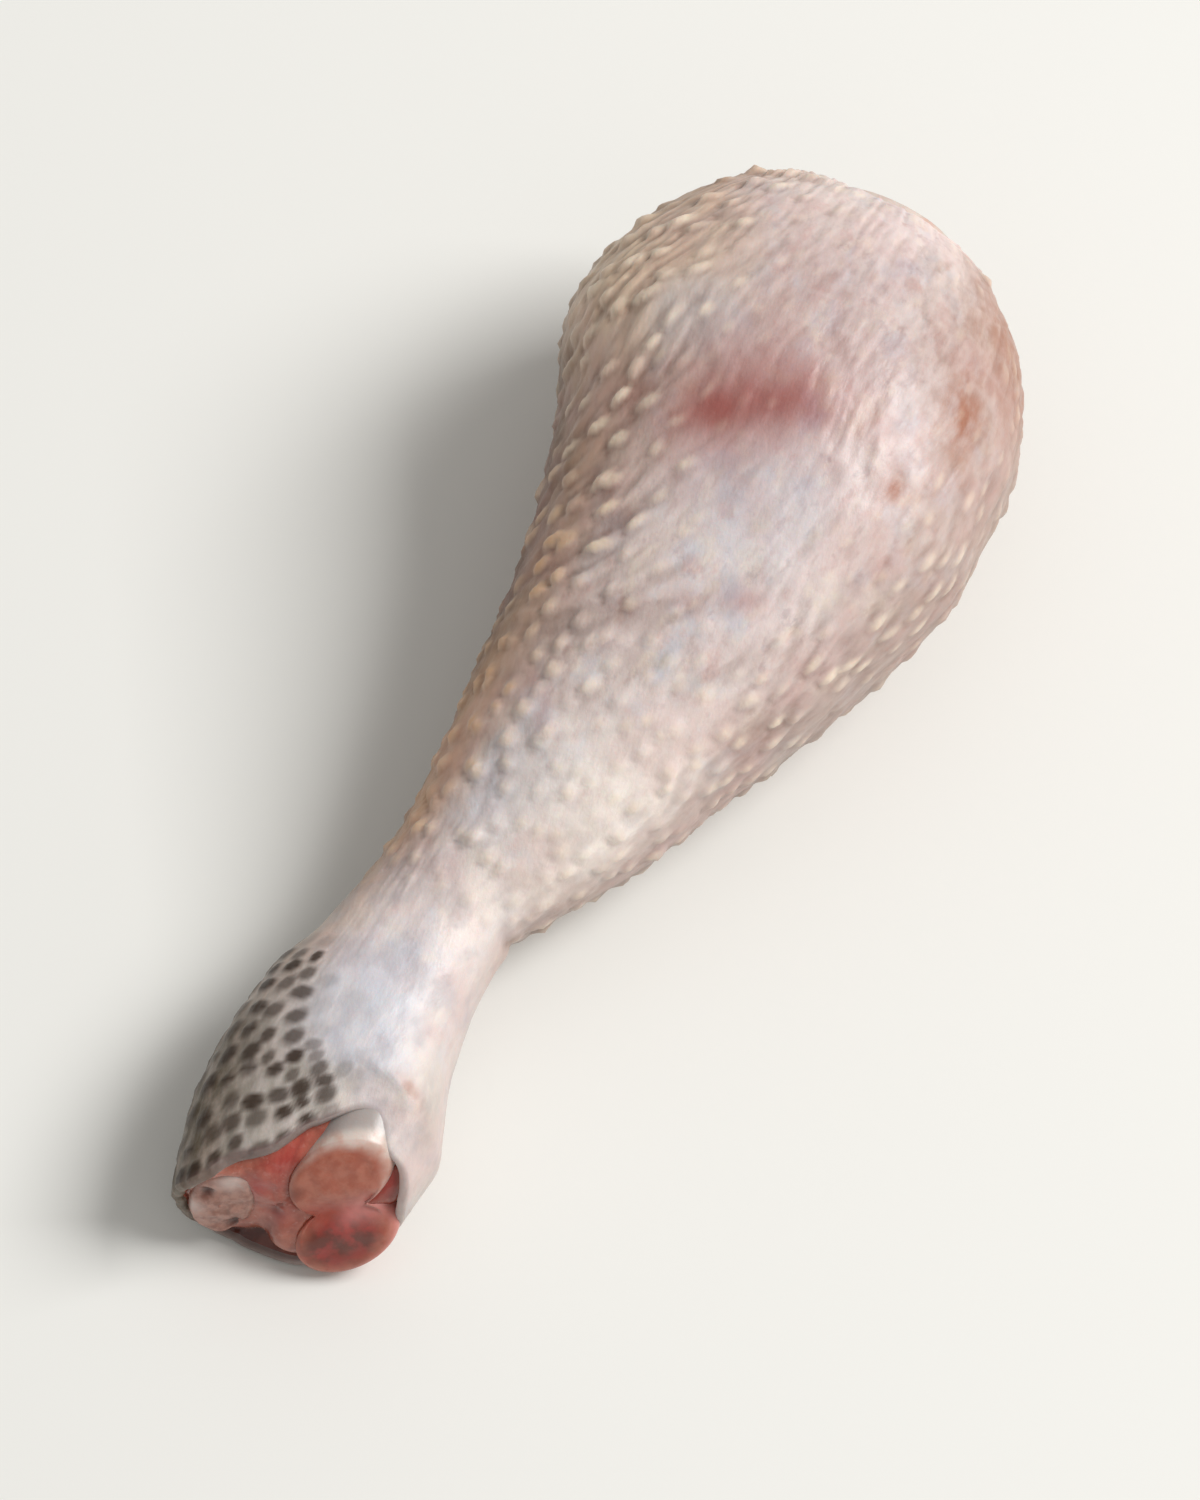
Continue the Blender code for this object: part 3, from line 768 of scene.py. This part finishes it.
def knee_face(rim):
    """The cut meat at the knee in uneven bundles round the bone, and the pale seams between them."""
    lip = lip_rings(rim, 1)
    centre = lip[-1].mean(axis=0)
    turn = leg_turns()
    uneven = turn + 0.32 * np.sin(2 * turn + 1) + 0.25 * np.sin(turn + 0.3)
    rings, seams = [], []
    for share in np.linspace(0, 1, KNEE_RINGS + 1)[1:-1]:
        ring = lip[-1] + (centre - lip[-1]) * share
        bend = 0.5 * math.sin(4 * share) + 0.35 * fractal(ring / 5, SEED + 61, 2)
        lobes = np.abs(np.cos(MEAT_BUNDLES / 2 * uneven + MEAT_TURN + bend))
        lumps = fractal(ring / 3, SEED + 60, 3)
        swell = math.sin(math.pi * share)
        ring[:, 0] += MEAT_BULGE * swell * (MEAT_VALLEY + (1 - MEAT_VALLEY) * lobes**0.6)
        ring[:, 0] += FLESH_LUMPS * lumps * swell
        rings.append(ring)
        seams.append(short_of(lobes, *SEAM_EDGE) * ease(0.75 + 0.9 * lumps))
    return lip, rings, centre, seams


def new_object(name, data):
    made = bpy.data.objects.new(name, data)
    bpy.context.scene.collection.objects.link(made)
    return made


def loft(name, rings, first_tip, last_tip, masks, materials, ring_materials=None):
    """A closed smooth mesh through the rings, hock to knee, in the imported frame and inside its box."""
    rings = np.array(rings)
    count, columns = rings.shape[:2]
    points = np.vstack([first_tip, rings.reshape(-1, 3), last_tip]) + TO_FRAME
    points = np.clip(points * MM, np.array(cad_low), np.array(cad_high))
    index = 1 + np.arange(count * columns).reshape(count, columns)
    ahead = np.roll(index, -1, axis=1)
    sides = np.stack([index[:-1], ahead[:-1], ahead[1:], index[1:]], axis=-1).reshape(-1, 4)
    start = np.column_stack([np.zeros(columns, int), ahead[0], index[0]])
    end = np.column_stack([np.full(columns, len(points) - 1), index[-1], ahead[-1]])
    data = bpy.data.meshes.new(name)
    faces = sides.tolist() + start.tolist() + end.tolist()
    data.from_pydata(points.tolist(), [], faces)
    data.shade_smooth()
    for material in materials:
        data.materials.append(material)
    if ring_materials is not None:
        per_face = np.repeat(ring_materials[:-1], columns)
        ends = np.repeat([ring_materials[0], ring_materials[-1]], columns)
        data.polygons.foreach_set("material_index", np.concatenate([per_face, ends]).astype(np.int32))
    for mask, values in masks.items():
        attribute = data.attributes.new(mask, "FLOAT", "POINT")
        full = np.concatenate([values[:1, :1].ravel(), values.ravel(), values[-1:, -1:].ravel()])
        attribute.data.foreach_set("value", full.astype(np.float32))
    return new_object(name, data)


def stretched(grid, before, after):
    """A mask of the skin carried on, as 0, over the rings of the cut faces."""
    return np.vstack([np.zeros((before, COLUMNS)), grid, np.zeros((after, COLUMNS))])


def make_leg(skin_material, flesh_material):
    skin = made_skin()
    hock_lip, hock, hock_middle = hock_face(skin.outer[0])
    knee_lip, knee, knee_middle, seams = knee_face(skin.outer[-1])
    rings = hock[::-1] + hock_lip[::-1] + list(skin.outer) + knee_lip + knee
    before, after = len(hock) + len(hock_lip), len(knee) + len(knee_lip)
    masks = {name: stretched(grid, before, after) for name, grid in skin.masks.items()}
    curl = len(CURL_SHARES)
    knee_edge = len(rings) - after
    for name in EDGE_MASKS:
        masks[name][len(hock) : before] = skin.masks[name][0]
        masks[name][knee_edge : knee_edge + len(knee_lip)] = skin.masks[name][-1]
    turn = leg_turns()
    masks["edge"][len(hock) : before + 1] = np.maximum(*(facing(turn, *place) for place in DARK_EDGES))
    masks["cut_hock"][: len(hock) + curl] = 1
    masks["dark"][: len(hock)], masks["red"][: len(hock)] = hock_masks(hock[::-1])
    # painted shadow on the flesh just inside the skin, underneath towards the heel
    masks["dark"][len(hock) : len(hock) + curl] = 0.9 * facing(turn, *UNDER_HOCK_SHADOW)
    masks["pale"][len(rings) - len(knee) :] = seams
    ring_materials = np.zeros(len(rings), int)
    ring_materials[: len(hock) + curl - 1] = 1
    ring_materials[len(rings) - len(knee) - curl + 1 :] = 1
    materials = (skin_material, flesh_material)
    leg = loft("skin_and_meat_surface", rings, hock_middle, knee_middle, masks, materials, ring_materials)
    finish_piece(leg, "skin_and_meat")


def finish_piece(piece, node):
    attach(piece, "root")
    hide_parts(node)


def two_lobed(turn, half_y, half_z, apart):
    """Points of two ovals side by side along Z, which are one ellipse where apart is 0."""
    y, z = np.cos(turn), np.sin(turn)
    into_lobe = np.clip((np.abs(z) - apart) / (1 - apart), -1, 1)
    return half_y * np.sign(y) * np.sqrt(1 - into_lobe**2), half_z * z


def rows_along(stations, spans):
    """The first station, then rows of the smoothed table over each span's steps."""
    along = np.concatenate([stations[:1, 0]] + [np.linspace(start, end, n + 1) for start, end, n in spans])
    along = np.unique(along)
    return np.column_stack([along, smooth_through(stations, along)])


def face_rings(ring, dish):
    """Rings from the rim of a cut to near its middle, hollowed by dish. The first is the innermost."""
    centre = ring.mean(axis=0)
    rings = []
    for share in np.linspace(0, 1, FACE_RINGS + 1)[1:-1]:
        inner = ring + (centre - ring) * share
        inner[:, 0] += dish * math.sin(0.5 * math.pi * share)
        rings.append(inner)
    return rings[::-1], centre + np.array([dish, 0, 0])


def bone_rings():
    turn = angles(BONE_COLUMNS)
    rings = []
    long, deep = BONE_RIM
    for along, y0, z0, depth, width, roll, apart in rows_along(BONE_STATIONS, BONE_SPANS):
        into_rim = np.clip(1 - (along - BONE_STATIONS[0, 0]) / long, 0, 1)
        inset = deep * (1 - math.sqrt(1 - into_rim**2))
        y, z = two_lobed(turn, depth - inset, width - inset, apart)
        y, z = turned(y, z, roll)
        slant = short_of(along, BONE_CUT_FADE, CUT_FADE)
        x = along + slant * (BONE_CUT_LEAN * z + BONE_CUT_HEEL * y)
        rings.append(np.column_stack([x, y + y0, z + z0]))
    return rings


def make_bone(material):
    rings = bone_rings()
    cut = face_rings(rings[0], 0)[0]
    head, head_middle = face_rings(rings[-1], BONE_DOME)
    rings = cut + rings + head[::-1]
    grid = np.array(rings)
    masks = bone_masks(grid, len(cut))
    upper, lower, waist = lobes(grid[: len(cut)])
    domes = np.maximum(bell(upper / 0.75), bell(lower / 0.75))
    grid[: len(cut), :, 0] += CUT_SADDLE * bell(waist / 1.6) - CUT_DOME * domes
    grid[: len(cut), :, 0] += CUT_GRAIN * fractal(grid[: len(cut)] / 1.8, SEED + 70, 3)
    cut_middle = grid[0].mean(axis=0)
    bone = loft("shin_bone_surface", grid, cut_middle, head_middle, masks, (material,))
    finish_piece(bone, "shin_bone")


def lobes(grid):
    """How far off each condyle's middle, as a share of its size, and the height above their waist."""
    y0, z0, depth, width, roll, apart = BONE_STATIONS[1, 1:]
    y, z = turned(grid[..., 1] - y0, grid[..., 2] - z0, -roll)
    centre, half = width * apart, width * (1 - apart)
    return np.hypot(y / depth, (z - centre) / half), np.hypot(y / depth, (z + centre) / half), z


def bone_masks(grid, cut_rings):
    """Where the bone is pale or grey cartilage, dark or red, where a pink highlight is painted on it, and
    where its cut has pits.
    """
    x, y, z = np.moveaxis(grid, -1, 0)
    upper, lower, waist = lobes(grid)
    wobble = 0.07 * fractal(grid / 2.8, SEED + 80, 2)
    on_cut = np.zeros(x.shape)
    on_cut[: cut_rings + BONE_SPANS[0][2] + 1] = 1
    from_cut = x - bone_cut(grid)[0]
    outer_from, outer_fade = CUT_OUTER_SIDE_FROM
    outside = ease((z - outer_from) / outer_fade + short_of(y, -8, 2))
    rim = beyond(upper + wobble, 0.8, 0.32)
    side = beyond(from_cut + 2 * wobble, 0.1, 1)
    above = beyond(waist, -0.5, 2)
    pale = np.maximum(rim * on_cut, side) * outside * above
    grey = beyond(from_cut + 4 * wobble, 1.5, 1.6) * above
    dark = ease((1 - lower - wobble) / 0.5) * on_cut
    shin_side = short_of(y, *CUT_SHIN_SIDE_TO)
    # A painted pink highlight across the waist between the condyles and along the shin side of the lower
    # condyle's rim.
    highlight_pink = bell((waist + 0.6) / 1.7) * shin_side
    highlight_pink = np.maximum(highlight_pink, beyond(lower, 0.8, 0.3) * short_of(y, -7.5, 2) * (1 - above))
    blood = bell((waist - 0.2) / 1.5) * (1 - shin_side) * on_cut
    knee = beyond(x, *BONE_HEAD_FROM)
    near_hock = 1 - beyond(x, *BONE_HOCK_END_TO)
    pits = np.zeros(x.shape)
    for *place, strength in CUT_PITS:
        pits = np.maximum(pits, strength * spot(grid, *place) * on_cut)
    return {
        "pale": np.maximum(pale * near_hock, knee),
        "grey": grey * near_hock,
        "dark": dark,
        "highlight_pink": highlight_pink * near_hock,
        "red": blood,
        "pits": pits,
    }


def tendon_rings():
    turn = angles(TENDON_COLUMNS)
    rings = []
    for along, y0, z0, depth, width in rows_along(TENDON_STATIONS, TENDON_SPANS):
        y, z = round_section(turn, depth, width, TENDON_ROUNDNESS)
        slant = short_of(along, CUT_FADE + TENDON_STATIONS[0, 0], CUT_FADE)
        x = along + slant * (TENDON_CUT_LEAN * z + TENDON_CUT_HEEL * y)
        rings.append(np.column_stack([x, y + y0, z + z0]))
    return rings


def make_tendons(material):
    rings = tendon_rings()
    cut, cut_middle = face_rings(rings[0], -TENDON_DOME)
    grid = np.array(cut + rings)
    pale, dark = np.zeros((2, *grid.shape[:2]))
    on_cut = short_of(grid[..., 0], *TENDON_CUT_TO)
    for place in TENDON_PALE:
        pale = np.maximum(pale, on_cut * spot(grid, *place))
    for *place, depth in TENDON_HOLES:
        near = spot(grid, *place) * on_cut
        # painted shade inside the holes
        dark = np.maximum(dark, near)
        grid[..., 0] += depth * near
    deep, uneven = TENDON_CUT_LUMPS
    face = grid[: len(cut) + TENDON_CUT_ROWS]
    face[..., 0] += deep + uneven * fractal(face / 2, SEED + 90, 3)
    last = grid[-1].mean(axis=0) + np.array([TENDON_TIP, 0, 0])
    masks = {"pale": pale, "dark": dark}
    tendons = loft("heel_tendons_surface", grid, cut_middle, last, masks, (material,))
    finish_piece(tendons, "heel_tendons")


def linear(hex_digits):
    """A colour written as sRGB hex digits, as linear red, green, blue and alpha."""
    channels = [int(hex_digits[k : k + 2], 16) / 255 for k in (0, 2, 4)]
    return (*[c / 12.92 if c <= 0.04045 else ((c + 0.055) / 1.055) ** 2.4 for c in channels], 1)


MIX_A, MIX_B, MIX_RESULT = 6, 7, 2  # the sockets of a mix node that are for colours


class Nodes:
    """A material and short ways to add nodes to it."""

    def __init__(self, name):
        self.material = bpy.data.materials.new(name)
        self.material.use_nodes = True
        self.tree = self.material.node_tree
        self.shader = self.tree.nodes["Principled BSDF"]
        self.object_place = self.add("TexCoord").outputs["Object"]

    def plug(self, value, socket):
        """Links an output to a socket, or sets it to a constant or to a colour in hex digits."""
        if isinstance(value, bpy.types.NodeSocket):
            self.tree.links.new(value, socket)
        else:
            socket.default_value = linear(value) if isinstance(value, str) else value

    def add(self, kind, **values):
        """A new node of a kind, with the inputs that are named set or linked."""
        node = self.tree.nodes.new("ShaderNode" + kind)
        self.fill(node, values)
        return node

    def fill(self, node, values):
        for name, value in values.items():
            self.plug(value, node.inputs[name.replace("_", " ")])

    def mask(self, name):
        node = self.add("Attribute")
        node.attribute_name = name
        return node.outputs["Fac"]

    def times(self, a, b):
        node = self.add("Math")
        node.operation = "MULTIPLY"
        node.use_clamp = True
        self.plug(a, node.inputs[0])
        self.plug(b, node.inputs[1])
        return node.outputs[0]

    def mix(self, factor, a, b):
        node = self.add("Mix", Factor=factor)
        node.data_type = "RGBA"
        self.plug(a, node.inputs[MIX_A])
        self.plug(b, node.inputs[MIX_B])
        return node.outputs[MIX_RESULT]

    def paint(self, under, amount, strength, digits):
        """A colour laid over another by an amount and a strength."""
        return self.mix(self.times(amount, strength), under, digits)

    def ramp(self, value, stops):
        """Colours along a value from 0 to 1, each a place and hex digits."""
        node = self.add("ValToRGB", Fac=value)
        node.color_ramp.interpolation = "EASE"
        elements = node.color_ramp.elements
        while len(elements) < len(stops):
            elements.new(0.5)
        for element, (place, digits) in zip(elements, stops):
            element.position = place
            element.color = linear(digits)
        return node.outputs["Color"]

    def noise(self, lump_mm, detail=3, stretch=1, roughness=0.55, place=0):
        """Noise with lumps of a size in millimetres, drawn out along the leg. Place picks its pattern."""
        where, scale = (place, place, 0), (1 / stretch, 1, 1)
        mapping = self.add("Mapping", Vector=self.object_place, Location=where, Scale=scale)
        node = self.add("TexNoise", Vector=mapping.outputs["Vector"], Detail=detail, Roughness=roughness)
        self.plug(1 / (lump_mm * MM), node.inputs["Scale"])
        return node.outputs["Fac"]

    def spread(self, value, low, high, out_low=0, out_high=1):
        """A value from low to high turned smoothly into one from out_low to out_high."""
        node = self.add("MapRange", Value=value, From_Min=low, From_Max=high)
        self.fill(node, {"To Min": out_low, "To Max": out_high})
        node.interpolation_type = "SMOOTHSTEP"
        return node.outputs["Result"]

    def bump(self, height, depth_mm, strength):
        node = self.add("Bump", Strength=strength, Distance=depth_mm * MM, Height=height)
        self.set(Normal=node.outputs["Normal"])

    def wet(self, soft, depth, reach, coat, coat_roughness):
        """Soft is the share of the light that goes in, depth is in metres, and reach is for each colour."""
        self.set(Subsurface_Weight=soft, Subsurface_Scale=depth, Subsurface_Radius=reach)
        self.set(Coat_Weight=coat, Coat_Roughness=coat_roughness)

    def set(self, **values):
        self.fill(self.shader, values)


# The skin's colour from the top down to the heel side and to the shin side: place from 0 to 1, colour. The
# darkening towards both sides and underneath is partly the skin's own tone and partly painted shade.
SKIN_HEEL = [
    (0, "dfcec8"), (0.1, "ddccc5"), (0.24, "d9c4b9"), (0.38, "d1b2a0"),
    (0.52, "b7987f"), (0.72, "978170"), (1, "857466"),
]
SKIN_SHIN = [
    (0, "dfcec8"), (0.06, "dfcfcb"), (0.2, "e6d7d4"), (0.34, "e6d7d2"),
    (0.48, "d6c3bd"), (0.62, "c6b0a8"), (0.76, "bca79e"), (1, "9c897e"),
]

# Layers painted over the skin, one over the other, and over flesh and bone: mask, colour, strength.
SKIN_LAYERS = [
    ("hock", "dcd6d2", 0.5),
    ("cream", "faeee4", 0.85),
    ("straw", "ecd3b8", 0.75),
    # ruddy brown, partly the skin's own tone and partly painted shadow near the knee
    ("ruddy_and_shadow", "9a7966", 0.55),
    ("tan", "cf9f76", 0.65),
    # painted shade along the heel side
    ("heel_shade", "543826", 0.76),
    ("rosy", "cfa5a0", 0.26),
    ("blue", "c6cedb", 0.55),
    # plum-grey marks, and a painted shadow near the knee
    ("plum_and_shadow", "7f5a55", 0.7),
    # painted shade in the hollows of the folds
    ("fold_shade", "85695f", 0.45),
    # painted sheen on the streaks of the bare patch
    ("painted_sheen", "f3ebea", 0.16),
    ("blotch", "b0a9ad", 0.4),
    ("ground", "a39a8f", 0.8),
    ("olive", "55462f", 0.85),
    ("scale", "301c08", 0.94),
    ("warm", "9c5730", 0.8),
    ("bruise", "933327", 0.88),
    ("shade", "75503f", 0.5),
    ("tip", "f3e1cb", 0.74),
    ("amber", "d69c60", 0.9),
    ("edge", "6a5450", 0.8),
]
EVEN_LAYERS = ("bruise", "scale", "edge")  # the ones that aren't mottled
# The flesh's dark layer is painted shade, in the pits and under the hock.
FLESH_LAYERS = [("pale", "e0c4b8", 0.75), ("red", "a8342c", 0.8), ("dark", "3f1a10", 0.9)]
# The bone's pink layer is a painted highlight.
BONE_LAYERS = [("red", "a03a30", 0.6), ("highlight_pink", "d98c86", 0.8), ("pits", "6e3424", 1)]

# Cloudy patches on the top of the leg: lump size, place in the noise, its range, colour, strength.
SKIN_CLOUDS = [
    (5.5, 0, 0.5, 0.66, "ccd3df", 0.5),
    (4, 0.31, 0.52, 0.68, "f2e3cf", 0.5),
    (3.2, 0.57, 0.54, 0.7, "cf9f97", 0.4),
    (2.2, 0.83, 0.56, 0.7, "a9969b", 0.4),
]

# The wet look, in the order that wet takes it.
SKIN_WET = (0.2, 0.0012, (1, 0.42, 0.28), 0.1, 0.25)
FLESH_WET = (0.3, 0.002, (1, 0.3, 0.2), 0.4, 0.12)
BONE_WET = (0.25, 0.0016, (1, 0.35, 0.25), 0.25, 0.2)
TENDON_WET = (0.3, 0.0016, (1, 0.4, 0.3), 0.4, 0.13)


def skin_material():
    nodes = Nodes("raw_skin")
    heel, shin = (nodes.ramp(nodes.mask("round"), stops) for stops in (SKIN_HEEL, SKIN_SHIN))
    colour = nodes.mix(nodes.mask("heel"), shin, heel)
    for lump, place, low, high, layer, strength in SKIN_CLOUDS:
        cloud = nodes.spread(nodes.noise(lump, 5, 1.3, 0.6, place), low, high)
        amount = nodes.times(nodes.times(cloud, strength), nodes.mask("top"))
        colour = nodes.mix(amount, colour, layer)
    veins = nodes.spread(nodes.noise(1.3, 4, 3.5), 0.52, 0.74)
    colour = nodes.paint(colour, veins, 0.3, "a8857f")
    break_up = nodes.spread(nodes.noise(1.5, 4, 2), 0.3, 0.7, 0.65, 1.15)
    for name, layer, strength in SKIN_LAYERS:
        amount = nodes.times(nodes.mask(name), strength)
        if name not in EVEN_LAYERS:
            amount = nodes.times(amount, break_up)
        colour = nodes.mix(amount, colour, layer)
    rough = nodes.spread(nodes.noise(2.2), 0.3, 0.7, 0.36, 0.5)
    nodes.set(Base_Color=colour, Roughness=rough, Specular_IOR_Level=0.35)
    nodes.wet(*SKIN_WET)
    nodes.bump(nodes.noise(0.55, 3, 1.8), 0.14, 0.55)
    return nodes.material


def flesh_material():
    nodes = Nodes("cut_flesh")
    lumps = nodes.spread(nodes.noise(2.6, 4), 0.35, 0.68)
    knee = nodes.mix(lumps, "9b4a42", "bd776a")
    hock = nodes.mix(lumps, "934736", "b86b56")
    colour = nodes.mix(nodes.mask("cut_hock"), knee, hock)
    flecks = nodes.spread(nodes.noise(0.9, 4), 0.56, 0.7)
    colour = nodes.paint(colour, flecks, 0.35, "cf9f92")
    for name, layer, strength in FLESH_LAYERS:
        colour = nodes.paint(colour, nodes.mask(name), strength, layer)
    nodes.set(Base_Color=colour, Roughness=0.24)
    nodes.wet(*FLESH_WET)
    nodes.bump(nodes.noise(1.1, 4), 0.2, 0.5)
    return nodes.material


def bone_material():
    nodes = Nodes("cut_bone")
    sponge = nodes.spread(nodes.noise(1.6, 4), 0.35, 0.65)
    colour = nodes.mix(sponge, "ab5a43", "b96e57")
    blood = nodes.spread(nodes.noise(2.4, 4), 0.4, 0.62)
    dark = nodes.mix(blood, "6b2a1c", "a3332a")
    colour = nodes.mix(nodes.mask("dark"), colour, dark)
    for name, layer, strength in BONE_LAYERS:
        colour = nodes.paint(colour, nodes.mask(name), strength, layer)
    pale = nodes.mix(nodes.spread(nodes.noise(2.2, 4), 0.4, 0.7), "d9cbc1", "cfae9f")
    colour = nodes.mix(nodes.mask("pale"), colour, pale)
    colour = nodes.paint(colour, nodes.mask("grey"), 0.85, "a39a96")
    nodes.set(Base_Color=colour, Roughness=0.32)
    nodes.wet(*BONE_WET)
    nodes.bump(nodes.noise(1, 3), 0.12, 0.4)
    return nodes.material


def tendon_material():
    nodes = Nodes("cut_tendon")
    fibres = nodes.spread(nodes.noise(1.1, 3), 0.35, 0.65)
    colour = nodes.mix(fibres, "8f5c4b", "b07d6c")
    colour = nodes.paint(colour, nodes.mask("pale"), 0.85, "dcc4bc")
    # painted shade in the holes
    colour = nodes.mix(nodes.mask("dark"), colour, "4a2118")
    nodes.set(Base_Color=colour, Roughness=0.26)
    nodes.wet(*TENDON_WET)
    nodes.bump(nodes.noise(0.9, 3), 0.15, 0.5)
    return nodes.material


# The photograph's viewpoint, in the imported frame, with a longer lens so that the drumstick fills the frame.
CAMERA_PLACE = (-0.3309, -0.1590, 0.8426)
CAMERA_AIM = (-0.003, 0.001, 0.019)
CAMERA_LENS = 190
SENSOR = 36
FLOOR_SIDE = 6
FLOOR_COLOUR = "f1f0eb"
WORLD_COLOUR = (1, 0.99, 0.97, 1)
WORLD_STRENGTH = 0.4
KEY_PLACE = (0.75, -1.05, 1.35)
KEY_SIDE = 0.9
KEY_WATTS = 31


def set_facing(thing, place, target):
    thing.location = place
    thing.rotation_euler = (Vector(target) - Vector(place)).to_track_quat("-Z", "Y").to_euler()


def make_camera():
    data = bpy.data.cameras.new("camera")
    data.lens = CAMERA_LENS
    data.sensor_width = SENSOR
    camera = new_object("camera", data)
    set_facing(camera, CAMERA_PLACE, CAMERA_AIM)
    bpy.context.scene.camera = camera


def make_floor():
    half = FLOOR_SIDE / 2
    data = bpy.data.meshes.new("floor")
    corners = [(-half, -half, 0), (half, -half, 0), (half, half, 0), (-half, half, 0)]
    data.from_pydata(corners, [], [(0, 1, 2, 3)])
    nodes = Nodes("floor")
    nodes.set(Base_Color=FLOOR_COLOUR, Roughness=0.7)
    data.materials.append(nodes.material)
    floor = new_object("floor", data)


def make_light():
    world = bpy.data.worlds.new("soft_room")
    world.use_nodes = True
    background = world.node_tree.nodes["Background"]
    background.inputs["Color"].default_value = WORLD_COLOUR
    background.inputs["Strength"].default_value = WORLD_STRENGTH
    bpy.context.scene.world = world
    data = bpy.data.lights.new("key", "AREA")
    data.size = KEY_SIDE
    data.energy = KEY_WATTS
    set_facing(new_object("key", data), KEY_PLACE, (0, 0, 0))
    bpy.context.scene.view_settings.view_transform = "Standard"


make_camera()
make_floor()
make_light()
make_leg(skin_material(), flesh_material())
make_bone(bone_material())
make_tendons(tendon_material())
